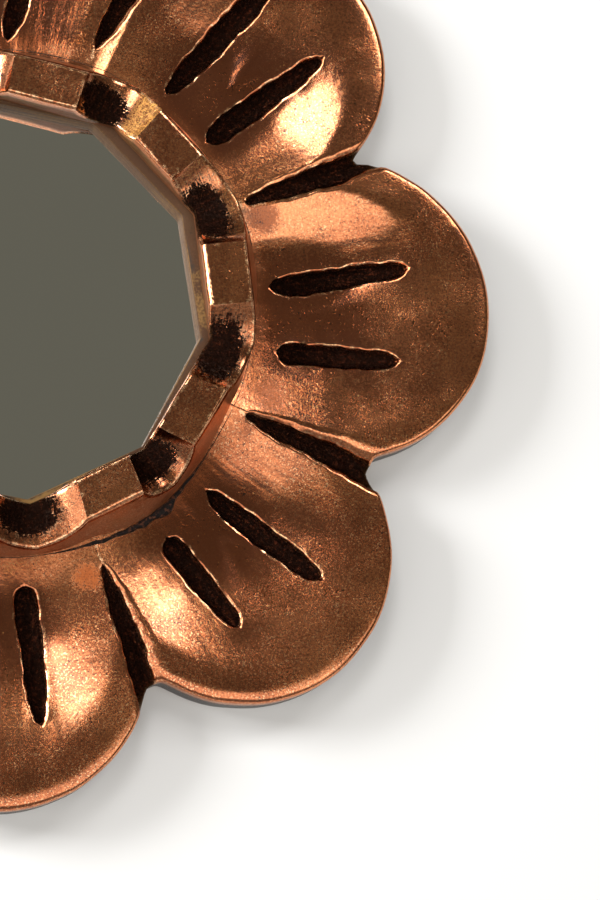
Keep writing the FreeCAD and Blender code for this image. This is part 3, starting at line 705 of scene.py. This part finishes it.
def makePad(node, number):
    # a punched felt disc: soft shoulders, a nap that stands out a little and a slightly dished face
    low, high = (np.array(corner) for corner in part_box(node))
    middle, half = (low + high) / 2, (high - low) / 2
    deselect()
    bpy.ops.mesh.primitive_cylinder_add(vertices=pads["side"], radius=half[0], depth=2 * half[1],
                                        end_fill_type="NGON")
    pad = newest("feltPad" + str(number + 1))
    edit()
    bpy.ops.transform.rotate(value=math.pi / 2, orient_axis="X", center_override=(0, 0, 0))
    endEdit()
    bevel = pad.modifiers.new("shoulder", "BEVEL")
    bevel.width, bevel.segments, bevel.angle_limit = pads["shoulder"] * mm, pads["steps"], math.radians(40)
    bpy.ops.object.modifier_apply(modifier=bevel.name)
    for size in pads["insets"]:
        edit("DESELECT")
        bpy.ops.mesh.select_face_by_sides(number=pads["side"], type="EQUAL")
        bpy.ops.mesh.inset(thickness=size * mm)
        endEdit()
    spots = readPoints(pad) / mm
    reach = np.hypot(spots[:, 0], spots[:, 2])
    turn = np.arctan2(spots[:, 2], spots[:, 0])
    edge = reach / (half[0] / mm)
    arc, y = turn * pads["radius"], spots[:, 1]
    nap = patchNoise(41 + number, 0.5, arc + 20, y + 20) + 0.6 * patchNoise(51 + number, 1.6, arc, y)
    spots[:, [0, 2]] *= (1 + pads["fuzz"] / pads["radius"] * (nap * edge ** 6 - 1.2 * edge ** 6))[:, None]
    bumps = 0.05 * patchNoise(61 + number, 2.4, spots[:, 0], spots[:, 2])
    dish = pads["dish"] * (1 - edge ** 2) + bumps * (1 - edge ** 6)
    spots[:, 1] -= np.sign(spots[:, 1]) * np.maximum(dish, 0)
    pad.data.vertices.foreach_set("co", (spots * mm + middle).ravel())
    pad.data.update()
    bpy.ops.object.shade_smooth_by_angle(angle=math.radians(50))
    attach(pad, "mirror")
    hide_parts(node)
    return pad


feltPads = [makePad(node, number) for number, node in enumerate(padNodes)]
print("felt pads done")


# hanger screws
screws = {"head": 1.6, "headSides": 48, "shank": 1.5, "shankSides": 24, "dome": 1.0, "crossLong": 3.6,
          "crossWide": 0.9, "crossDeep": 1.0, "turns": (0.35, 1.15), "smoothAngle": 35}


def makePeg(x, z, low, high, radius, sides):
    deselect()
    bpy.ops.mesh.primitive_cylinder_add(vertices=sides, radius=radius * mm, depth=(high - low) * mm,
                                        location=Vector((x, (low + high) / 2, z)) * mm,
                                        rotation=(-math.pi / 2, 0, 0))
    return newest("hangerScrew")


def makeScrew(x, low, high, z, radius, turn):
    # a pan head with a cross recess, facing the wall, on its shank
    seat = high - screws["head"]
    head = makePeg(x, z, seat, high, radius, screws["headSides"])
    edit("DESELECT")
    endEdit()
    for face in head.data.polygons:
        face.select = face.normal.z > 0.9
    bpy.ops.object.mode_set(mode="EDIT")
    bpy.ops.mesh.bevel(offset=screws["dome"] * mm, segments=5, affect="EDGES")
    endEdit()
    bpy.ops.object.transform_apply(location=True, rotation=True, scale=True)
    for quarter in (0, 1):
        deselect()
        bpy.ops.mesh.primitive_cube_add(size=mm, location=Vector((x, high, z)) * mm,
                                        rotation=(0, turn + quarter * math.pi / 2, 0),
                                        scale=(screws["crossLong"], 2 * screws["crossDeep"], screws["crossWide"]))
        punch = bpy.context.object
        deselect()
        bpy.context.view_layer.objects.active = head
        recess = head.modifiers.new("recess", "BOOLEAN")
        recess.operation, recess.object = "DIFFERENCE", punch
        bpy.ops.object.modifier_apply(modifier=recess.name)
        bpy.data.objects.remove(punch)
    shank = makePeg(x, z, low, seat, screws["shank"], screws["shankSides"])
    bpy.ops.object.transform_apply(location=True, rotation=True, scale=True)
    joinTo(head, [shank])
    return head


def makeScrews():
    low, high = (Vector(corner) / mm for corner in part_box("hanger_screws"))
    radius = (high.x - low.x) / 2
    pair = [makeScrew((low.x + high.x) / 2, low.y, high.y, z, radius, turn)
            for z, turn in zip((low.z + radius, high.z - radius), screws["turns"])]
    joinTo(pair[0], pair[1:])
    bpy.ops.object.shade_smooth_by_angle(angle=math.radians(screws["smoothAngle"]))
    return newest("hangerScrews")


hangerScrews = makeScrews()
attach(hangerScrews, "mirror")
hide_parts("hanger_screws")
print("hanger screws done")


# materials
class Wire:
    # a shader socket that takes part in sums

    def __init__(self, graph, socket):
        self.graph, self.socket = graph, socket

    def output(self, name):
        return Wire(self.graph, self.socket.node.outputs[name])

    def __add__(self, other): return self.graph.maths("ADD", self, other)
    def __radd__(self, other): return self.graph.maths("ADD", other, self)
    def __sub__(self, other): return self.graph.maths("SUBTRACT", self, other)
    def __rsub__(self, other): return self.graph.maths("SUBTRACT", other, self)
    def __mul__(self, other): return self.graph.maths("MULTIPLY", self, other)
    def __rmul__(self, other): return self.graph.maths("MULTIPLY", other, self)


class Graph:
    # the nodes of a material or of the world

    def __init__(self, owner):
        owner.use_nodes = True
        self.owner, self.tree = owner, owner.node_tree
        self.shader = self.tree.nodes.get("Principled BSDF")

    def put(self, socket, value):
        if isinstance(value, Wire):
            self.tree.links.new(value.socket, socket)
        else:
            socket.default_value = value

    def node(self, kind, settings=None, output=0, **sockets):
        # sockets go by name, or by number as i0, i1 and so on
        made = self.tree.nodes.new(kind)
        for key, value in (settings or {}).items():
            setattr(made, key, value)
        for key, value in sockets.items():
            self.put(made.inputs[int(key[1:]) if key[1:].isdigit() else key.replace("_", " ")], value)
        return Wire(self, made.outputs[output])

    def maths(self, operation, first, second):
        return self.node("ShaderNodeMath", {"operation": operation}, i0=first, i1=second)

    def most(self, first, *others):
        for other in others:
            first = self.maths("MAXIMUM", first, other)
        return first

    def smooth(self, value, low, high):
        return self.node("ShaderNodeMapRange", {"interpolation_type": "SMOOTHSTEP"}, Value=value,
                         From_Min=low, From_Max=high)

    def mixColour(self, factor, first, second):
        return self.node("ShaderNodeMix", {"data_type": "RGBA"}, 2, i0=factor, i6=first, i7=second)

    def attribute(self, name):
        return self.node("ShaderNodeAttribute", {"attribute_name": name}, "Fac")

    def place(self):
        # object coordinates in millimetres
        spot = self.node("ShaderNodeTexCoord", output="Object")
        return self.node("ShaderNodeVectorMath", {"operation": "SCALE"}, i0=spot, Scale=1 / mm)

    def noise(self, vector, perUnit, detail, rough, distortion=0.0):
        return self.node("ShaderNodeTexNoise", output="Fac", Vector=vector, Scale=perUnit, Detail=detail,
                         Roughness=rough, Distortion=distortion)

    def streaky(self, across, along, detail, rough):
        # noise that is stretched, by what its two coordinates were multiplied with
        return self.noise(self.node("ShaderNodeCombineXYZ", X=across, Y=along, Z=0.0), 1.0, detail, rough)

    def stretched(self, vector, scale):
        return self.node("ShaderNodeMapping", output="Vector", Vector=vector, Scale=scale)

    def bump(self, height, distance):
        # height in its own units times distance in metres
        return self.node("ShaderNodeBump", output="Normal", Height=height, Strength=1.0, Distance=distance)

    def finish(self, **sockets):
        for key, value in sockets.items():
            self.put(self.shader.inputs[key.replace("_", " ")], value)
        return self.owner


def newMaterial(name):
    return Graph(bpy.data.materials.new(name))


def rgb(red, green, blue):
    return (red, green, blue, 1.0)


# among these colours the bright copper paints highlights and glints, the yellow gold a highlight on notch slopes, the
# near-black with its olive streaks shade on the opening's walls, and the stain colour also glints in the cuts
leaf = {
    "deep": rgb(0.40, 0.112, 0.038), "light": rgb(0.82, 0.300, 0.120), "highlightTint": rgb(1.0, 0.60, 0.33),
    "ground": rgb(0.32, 0.070, 0.010), "olive": rgb(0.20, 0.125, 0.025), "slopeHighlight": rgb(1.0, 0.50, 0.12),
    "black": rgb(0.010, 0.0045, 0.003), "rust": rgb(0.085, 0.022, 0.010), "stain": rgb(0.16, 0.05, 0.018),
    "pit": rgb(0.055, 0.018, 0.009), "sideBlack": rgb(0.014, 0.013, 0.012), "edgeTint": rgb(0.92, 0.70, 0.54),
    "wood": rgb(0.47, 0.31, 0.18), "woodDark": rgb(0.29, 0.17, 0.09), "dusty": rgb(0.34, 0.145, 0.075),
    "paintedShade": rgb(0.034, 0.017, 0.008), "paintedShadeStreak": rgb(0.17, 0.095, 0.028),
    "rough": 0.125, "paintRough": 0.26, "stainRough": 0.55, "sideRough": 0.34, "woodRough": 0.75,
    "coat": 0.55, "coatRough": 0.16,
}
# speckle of the leaf: how many to the millimetre, detail and roughness
# two of these noises place painted glints: bright spots on the leaf and red-brown spots in the cuts
leafNoises = {
    "broad": (0.035, 3, 0.55), "cloud": (0.11, 3, 0.6), "crumb": (1.25, 3, 0.65), "fine": (2.9, 2, 0.6),
    "sand": (2.1, 3, 0.7), "sheets": (0.055, 3, 0.6), "ragged": (0.95, 4, 0.72), "gaps": (0.42, 3, 0.7),
    "glintSpots": (1.9, 0, 0.5), "holes": (1.2, 1, 0.5), "pinholes": (2.7, 1, 0.5), "specks": (2.4, 1, 0.5),
    "cutGlintSpots": (1.7, 1, 0.5), "grain": (0.9, 1, 0.5), "lumps": (1.4, 4, 0.7),
}
# the edge and slope masks carry painted highlights; the dust mask and the side-paint mask also carry painted shade
leafMasks = ("inside", "sidePaintAndShade", "rawWood", "rub", "foot", "edgeHighlight", "slopeHighlight", "dustAndShade", "petalAround", "petalAway")


def copperLeaf(name, feather, streaks):
    # leaf over a red ground, with black in the cuts; feather is how ragged the paint's edge is, in mm
    g = newMaterial(name)
    spot = g.place()
    noises = {key: g.noise(spot, *numbers) for key, numbers in leafNoises.items()}
    broad, cloud, crumb, fine, sand = (noises[key] for key in ("broad", "cloud", "crumb", "fine", "sand"))
    drift, clouding, crumbs, specks, sands = (noise - 0.5 for noise in (broad, cloud, crumb, fine, sand))
    inside, sidePaintAndShade, bare, rub, foot, edgeHighlight, slopeHighlight, dustAndShade, around, away = map(g.attribute, leafMasks)
    polar = g.node("ShaderNodeSeparateXYZ", Vector=g.node("ShaderNodeUVMap", {"uv_map": "polar"}))
    reach = polar.output("Y")
    depth = g.node("ShaderNodeSeparateXYZ", output="Y", Vector=spot)
    strokes = g.streaky(polar * 150.0, reach * 0.11, 2, 0.6)
    facets = g.streaky(polar * 30.0, reach * 0.045, 1, 0.5)
    rings = g.streaky(around * 9.0, away * 1.5, 2, 0.6)
    lines = g.streaky(polar * 9.0, depth * 3.2, 3, 0.7)
    # how sandy or smooth each stretch of leaf is
    basin = g.smooth(away, 26.0, 8.0)
    low = g.smooth(depth.output("Z"), -150.0, -215.0)
    patch = g.smooth(noises["sheets"] + low * 0.08, 0.38, 0.68) * (1 - basin * 0.7)
    coarse = 0.35 + patch * 0.65
    rim = 1 - basin * 0.8
    # paint in the cuts, with a ragged edge
    ragged = noises["ragged"]
    if streaks:
        bristles = g.streaky(polar * 14.0, reach * 1.9, 3, 0.7)
        across = g.streaky(polar * 95.0, reach * 0.25, 3, 0.7)
        ragged = ragged * 0.4 + bristles * 0.3 + across * 0.3
    tatter = ragged - 0.5
    edge = inside + tatter * feather
    paint = g.smooth(edge, 0.02, 0.35) * (1 - bare)
    # black paint down the rim's side, and painted shade of the joint on the opening's lip and the ring's inner wall
    paintAndShadeBand = g.smooth(sidePaintAndShade + (lines - 0.5) * 0.9 + clouding * 0.5, 0.48, 0.70)
    # leaf colour: broad drift, fine mottle, painted glints as bright flecks, rubbed ground, tarnish and pits
    tone = g.smooth(broad, 0.32, 0.68) * 0.40 + g.smooth(crumb, 0.28, 0.72) * 0.45 + specks * 1.6 * coarse
    tone = g.smooth(tone + 0.06 - patch * 0.10 - basin * 0.45, 0.0, 1.0)
    # painted glints: bright copper spots, more of them in sandy patches
    paintedGlints = g.smooth(noises["glintSpots"], 0.63, 0.71) * (0.22 + patch * 0.4) * rim
    wearAndHighlight = g.smooth(rub + clouding * 1.2 + crumbs * 1.5 + sands * 1.2, 0.48, 1.0)
    tarnish = g.smooth(foot * 0.45 + drift * 2.4 + crumbs * 0.8, 0.62, 1.0)
    # painted highlight: a bright, less metallic gold patch on one slope of some notches
    slopeHighlightPatch = g.smooth(slopeHighlight + crumbs * 1.6 + tatter * 2.4, 0.45, 0.95)
    highlightGold = g.mixColour(g.smooth(sand, 0.2, 0.5), leaf["light"], leaf["slopeHighlight"])
    gaps = noises["gaps"]
    # painted highlights: bright lines along the cuts' lips, the ring's rounded edges and the blocks' ends
    lip = g.smooth(edge + crumbs * 1.8, -0.85, -0.25) * (1 - paint) * g.smooth(gaps, 0.47, 0.60)
    paintedEdgeHighlight = g.smooth(edgeHighlight * 0.75 + crumbs * 1.8 + (gaps - 0.5) * 2.0, 0.50, 1.0)
    paintedHighlight = g.most(lip * 0.7, paintedEdgeHighlight * 0.7)
    holes = g.smooth(noises["holes"], 0.60, 0.72) * g.smooth(cloud, 0.44, 0.60)
    pits = g.most(holes, g.smooth(noises["pinholes"], 0.655, 0.70) * coarse * 0.8,
                  g.smooth(crumb, 0.50, 0.57) * slopeHighlightPatch,
                  g.smooth(noises["specks"], 0.57, 0.66) * (0.36 + patch * 0.5) * rim)
    # dirt by the ring, and painted shade on the opening's walls: a near-black, less metallic layer with olive streaks,
    # darkest low down
    dusty = g.smooth(dustAndShade + clouding * 0.9 + crumbs * 0.5, 0.25, 0.80)
    recessShade = g.smooth(dustAndShade, 0.6, 0.95)
    seams = g.streaky(polar * 1.6, depth * 4.5, 3, 0.6)
    paintedShade = g.mixColour(g.smooth(seams + crumbs * 0.25, 0.50, 0.60), leaf["paintedShade"], leaf["paintedShadeStreak"])
    dustAndShadeColour = g.mixColour(recessShade, leaf["dusty"], paintedShade)
    inCut = g.mixColour(g.smooth(ragged * 0.7 + strokes * 0.3, 0.50, 0.66) * 0.8, leaf["black"], leaf["rust"])
    # painted glints: small red-brown spots in the black of the cuts
    inCut = g.mixColour(g.smooth(noises["cutGlintSpots"], 0.66, 0.72) * 0.4, inCut, leaf["stain"])
    # raw wood at the back
    woodGrain = g.noise(g.stretched(spot, (0.035, 0.035, 0.9)), 1.0, 4, 0.65, 0.6)
    woodTint = g.mixColour(g.smooth(woodGrain, 0.35, 0.7), leaf["woodDark"], leaf["wood"])
    overspill = g.smooth(sidePaintAndShade + tatter * 0.6, 0.35, 0.6)
    woodTint = g.mixColour(overspill, woodTint, leaf["sideBlack"])
    layers = [(paintedGlints, leaf["highlightTint"]), (wearAndHighlight * 0.85, leaf["ground"]), (tarnish * 0.6, leaf["olive"]),
              (slopeHighlightPatch * 0.9, highlightGold), (paintedHighlight, leaf["highlightTint"]), (pits * 0.85, leaf["pit"]),
              (dusty * (0.7 + recessShade * 0.25), dustAndShadeColour)]
    if streaks:
        stain = g.smooth(inside + tatter * feather * 2.2, -1.6, 0.5)
        layers.append((stain * 0.8, leaf["stain"]))
    # black paint on the rim's side, black painted joint shade on the lip, and a stain colour for the painted joint
    # shade on the ring
    layers += [(paint, inCut), (paintAndShadeBand, leaf["stain"] if streaks else leaf["sideBlack"]), (bare, woodTint)]
    colour = g.mixColour(tone, leaf["deep"], leaf["light"])
    for amount, cover in layers:
        colour = g.mixColour(amount, colour, cover)
    metal = ((1 - paintAndShadeBand) * (1 - bare) * (1 - wearAndHighlight * 0.6) * (1 - dusty * (0.5 + recessShade * 0.4)) * (1 - tarnish * 0.2)
             * (1 - slopeHighlightPatch * 0.9))
    rough = (leaf["rough"] + (patch * 0.075 + low * 0.035) * rim + drift * 0.08 + specks * 0.06 * coarse
             + wearAndHighlight * 0.15 + dusty * 0.10 + dustAndShade * dustAndShade * 0.4 + paintedHighlight * 0.10)
    for amount, other in ((paint, leaf["paintRough"] + crumbs * 0.5),
                          (paintAndShadeBand, leaf["stainRough"] if streaks else leaf["sideRough"]), (bare, leaf["woodRough"])):
        rough = rough * (1 - amount) + amount * other
    # relief: leaf grain, tool strokes in patches, pits, lumpy paint
    grain = ((noises["grain"] - 0.5) * 0.019 + sands * (0.004 + 0.009 * patch) * rim + crumbs * 0.004)
    stroked = ((strokes - 0.5) * 0.022 * g.smooth(cloud, 0.48, 0.62) + (rings - 0.5) * 0.003
               + (facets - 0.5) * 0.085)
    relief = (grain + stroked) * (1 - paint) - holes * 0.014
    relief = relief + (noises["lumps"] - 0.5) * paint * 0.7 + (lines - 0.5) * 0.10 * g.smooth(sidePaintAndShade, 0.05, 0.3)
    relief = relief + woodGrain * bare * 0.12
    coat = (1 - bare) * (1 - paintAndShadeBand) * (1 - paint) * (1 - dustAndShade) * leaf["coat"]
    return g.finish(Base_Color=colour, Metallic=metal, Roughness=rough, Specular_IOR_Level=0.35,
                    Specular_Tint=leaf["edgeTint"], Coat_Weight=coat, Coat_Roughness=leaf["coatRough"],
                    Normal=g.bump(relief, mm))


def speckled(name, low, high, numbers, stretch=None):
    # a new material's graph, with one noise and the colour that goes with it from low to high
    g = newMaterial(name)
    spot = g.place()
    speckle = g.noise(g.stretched(spot, stretch) if stretch else spot, *numbers)
    return g, spot, speckle, g.mixColour(speckle, low, high)


def glueBead():
    g = newMaterial("seamGlue")
    lumps = g.noise(g.place(), 0.9, 4, 0.7)
    colour = g.mixColour(g.smooth(lumps, 0.50, 0.62), rgb(0.008, 0.005, 0.004), rgb(0.10, 0.035, 0.018))
    return g.finish(Base_Color=colour, Roughness=0.6, Specular_IOR_Level=0.2, Normal=g.bump(lumps, 0.8 * mm))


def silveredGlass():
    colours = rgb(0.91, 0.915, 0.89), rgb(0.94, 0.945, 0.92)
    g, _, haze, colour = speckled("silveredGlass", *colours, (0.02, 2, 0.5))
    return g.finish(Base_Color=colour, Metallic=1.0, Roughness=0.02 + (haze - 0.5) * 0.01)


def hardboard():
    colours = rgb(0.065, 0.030, 0.013), rgb(0.175, 0.092, 0.045)
    g, spot, fibres, colour = speckled("hardboard", *colours, (1.2, 4, 0.7, 1.5), (0.5, 0.5, 1.6))
    sheen = g.noise(spot, 0.03, 2, 0.5)
    return g.finish(Base_Color=colour, Roughness=0.50 + sheen * 0.3, Normal=g.bump(fibres, 0.15 * mm))


def backingPaper():
    colours = rgb(0.42, 0.34, 0.24), rgb(0.50, 0.42, 0.31)
    g, _, _, colour = speckled("backingPaper", *colours, (1.5, 3, 0.6))
    return g.finish(Base_Color=colour, Roughness=0.9)


def steel(name, low, high, rough):
    g, spot, _, colour = speckled(name, low, high, (0.5, 3, 0.6))
    scratch = g.noise(g.stretched(spot, (6.0, 1.0, 0.4)), 1.5, 2, 0.6)
    return g.finish(Base_Color=colour, Metallic=1.0, Roughness=rough + (scratch - 0.5) * 0.2,
                    Normal=g.bump(scratch, 0.03 * mm))


def felt():
    colours = rgb(0.018, 0.017, 0.017), rgb(0.07, 0.065, 0.06)
    g, _, fuzz, colour = speckled("padFelt", *colours, (2.5, 4, 0.75, 2.0))
    return g.finish(Base_Color=colour, Roughness=0.95, Normal=g.bump(fuzz, 0.5 * mm))


def dress(piece, material):
    piece.data.materials.clear()
    piece.data.materials.append(material)


def dressNode(name, material):
    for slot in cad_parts[name].material_slots:
        slot.material = material


dress(carvedPetals, copperLeaf("petalLeaf", 0.9, False))
dress(notchedRing, copperLeaf("ringLeaf", 14.0, True))
dress(glueSeam, glueBead())
dressNode("mirror_glass", silveredGlass())
dressNode("backing_card", backingPaper())
dressNode("back_board", hardboard())
dressNode("panel_brads", steel("bradSteel", rgb(0.42, 0.41, 0.40), rgb(0.56, 0.55, 0.53), 0.34))
platedSteel = steel("platedSteel", rgb(0.50, 0.36, 0.15), rgb(0.70, 0.54, 0.26), 0.26)
for name in ("hanger_strap", "hanging_ring"):
    dressNode(name, platedSteel)
dress(hangerScrews, platedSteel)
padFelt = felt()
for pad in feltPads:
    dress(pad, padFelt)
print("materials done")


# wall, light and camera
studio = {
    "wallSize": 4.0, "wallGap": 0.4, "wallCover": 14.0, "wallColour": rgb(0.735, 0.731, 0.723), "lift": 0.085,
    "aimX": 0.05,
    # each lamp: degrees to the right of straight ahead and above, distance, width, height and power
    "lamps": {"key": (-61, 13, 1.6, 0.50, 0.6, 28.0), "front": (-13.5, 24, 1.6, 0.44, 0.59, 6.9),
              "side": (27.5, 28.5, 1.6, 0.36, 0.32, 3.3)},
    "room": {
        "front": rgb(0.126, 0.119, 0.094), "left": rgb(0.40, 0.39, 0.38), "floor": rgb(0.30, 0.295, 0.29),
        "low": rgb(1.95, 1.89, 1.80), "behind": rgb(0.34, 0.335, 0.33), "behindAbove": rgb(1.30, 1.29, 1.27),
    },
}
# the photograph's own viewpoint, from the fit that sized the CAD: below and left of the axis, in mm and pixels
camera = {
    "place": (-117.81, -985.47, -258.04), "forward": (0.204998, 0.955332, 0.212876),
    "right": (0.977870, -0.209195, -0.002865), "up": (-0.041795, -0.208752, 0.977075),
    "focal": 3442.5, "tall": 900.0, "sensor": 36.0, "near": 0.01, "far": 20.0,
}


def makeWall():
    # the wall is left open behind the mirror, where it can't be seen, so that the mirror's back is lit
    deselect()
    bpy.ops.mesh.primitive_circle_add(vertices=360, radius=1.0, fill_type="NOTHING")
    wall = newest("wall")
    edit()
    bpy.ops.mesh.extrude_edges_move()
    bpy.ops.transform.resize(value=(2, 2, 2))
    endEdit()
    spots = readPoints(wall)
    turn = np.arctan2(spots[:, 1], spots[:, 0])
    isOuter = np.hypot(spots[:, 0], spots[:, 1]) > 1.5
    reach = np.where(isOuter, studio["wallSize"] / 2 / mm, petalOutline(turn) - studio["wallCover"])
    wall.data.vertices.foreach_set("co", hung(turn, reach, np.full(turn.shape, -studio["wallGap"])).ravel())
    if sum(face.normal.y for face in wall.data.polygons) > 0:
        edit()
        bpy.ops.mesh.flip_normals()
        endEdit()
    g = newMaterial("wallPaint")
    ray = g.node("ShaderNodeLightPath", output="Is Camera Ray")
    seen = g.most(ray, g.most(ray.output("Is Glossy Ray"), ray.output("Is Transmission Ray")))
    glow = g.mixColour(seen, rgb(0, 0, 0), rgb(studio["lift"], studio["lift"], studio["lift"]))
    g.finish(Base_Color=studio["wallColour"], Roughness=0.9, Specular_IOR_Level=0.0, Emission_Strength=1.0,
             Emission_Color=glow)
    back = g.node("ShaderNodeNewGeometry", output="Backfacing")
    paint, clear = Wire(g, g.shader.outputs[0]), g.node("ShaderNodeBsdfTransparent")
    g.put(g.tree.nodes["Material Output"].inputs["Surface"], g.node("ShaderNodeMixShader", i0=back, i1=paint, i2=clear))
    dress(wall, g.owner)


def makeLamp(name, az, el, away, wide, tall, power):
    # a soft box that looks at the flower
    a, e = math.radians(az), math.radians(el)
    light = bpy.data.lights.new(name, "AREA")
    light.shape = "RECTANGLE"
    light.size, light.size_y, light.energy = wide, tall, power
    holder = bpy.data.objects.new(name, light)
    bpy.context.collection.objects.link(holder)
    way = Vector((math.sin(a) * math.cos(e), -math.cos(a) * math.cos(e), math.sin(e)))
    holder.location = Vector((studio["aimX"], 0, flowerZ * mm)) + way * away
    holder.rotation_euler = (-way).to_track_quat("-Z", "Y").to_euler()


def makeWorld():
    # the room in front of the mirror is dim at eye height, pale below and middling to the sides
    world = bpy.data.worlds.new("studio")
    bpy.context.scene.world = world
    g, room = Graph(world), studio["room"]
    g.tree.nodes.clear()
    x = g.node("ShaderNodeSeparateXYZ", Vector=g.node("ShaderNodeTexCoord", output="Generated"))
    y, z = x.output("Y"), x.output("Z")
    left = 1 - g.smooth(x, -0.50, -0.25)
    low = (1 - g.smooth(z, -0.09, -0.02)) * g.smooth(z, -0.62, -0.42) * (1 - g.smooth(x, 0.55, 0.80))
    floor = 1 - g.smooth(z, -0.62, -0.42)
    colour = g.mixColour(left, room["front"], room["left"])
    colour = g.mixColour(floor, colour, room["floor"])
    colour = g.mixColour(low, colour, room["low"])
    behind = g.mixColour(g.smooth(z, -0.25, 0.75), room["behind"], room["behindAbove"])
    colour = g.mixColour(g.smooth(y, -0.05, 0.15), colour, behind)
    seen = g.node("ShaderNodeLightPath", output="Is Camera Ray")
    colour = g.mixColour(seen, colour, rgb(1, 1, 1))
    sky = g.node("ShaderNodeBackground", Color=colour, Strength=1.0)
    g.put(g.tree.nodes.new("ShaderNodeOutputWorld").inputs["Surface"], sky)


def makeCamera():
    data = bpy.data.cameras.new("camera")
    data.sensor_width = camera["sensor"]
    data.lens = camera["focal"] / camera["tall"] * camera["sensor"]
    data.clip_start, data.clip_end = camera["near"], camera["far"]
    holder = bpy.data.objects.new("camera", data)
    bpy.context.collection.objects.link(holder)
    turn = Matrix((Vector(camera["right"]), Vector(camera["up"]), -Vector(camera["forward"]))).transposed().to_4x4()
    spot = Vector(camera["place"]) + Vector((flowerX, 0, flowerZ))
    holder.matrix_world = Matrix.Translation(spot * mm) @ turn
    bpy.context.scene.camera = holder


makeWall()
for name, numbers in studio["lamps"].items():
    makeLamp(name, *numbers)
makeWorld()
makeCamera()
bpy.context.scene.view_settings.view_transform = "Standard"
print("stage, light and camera done")
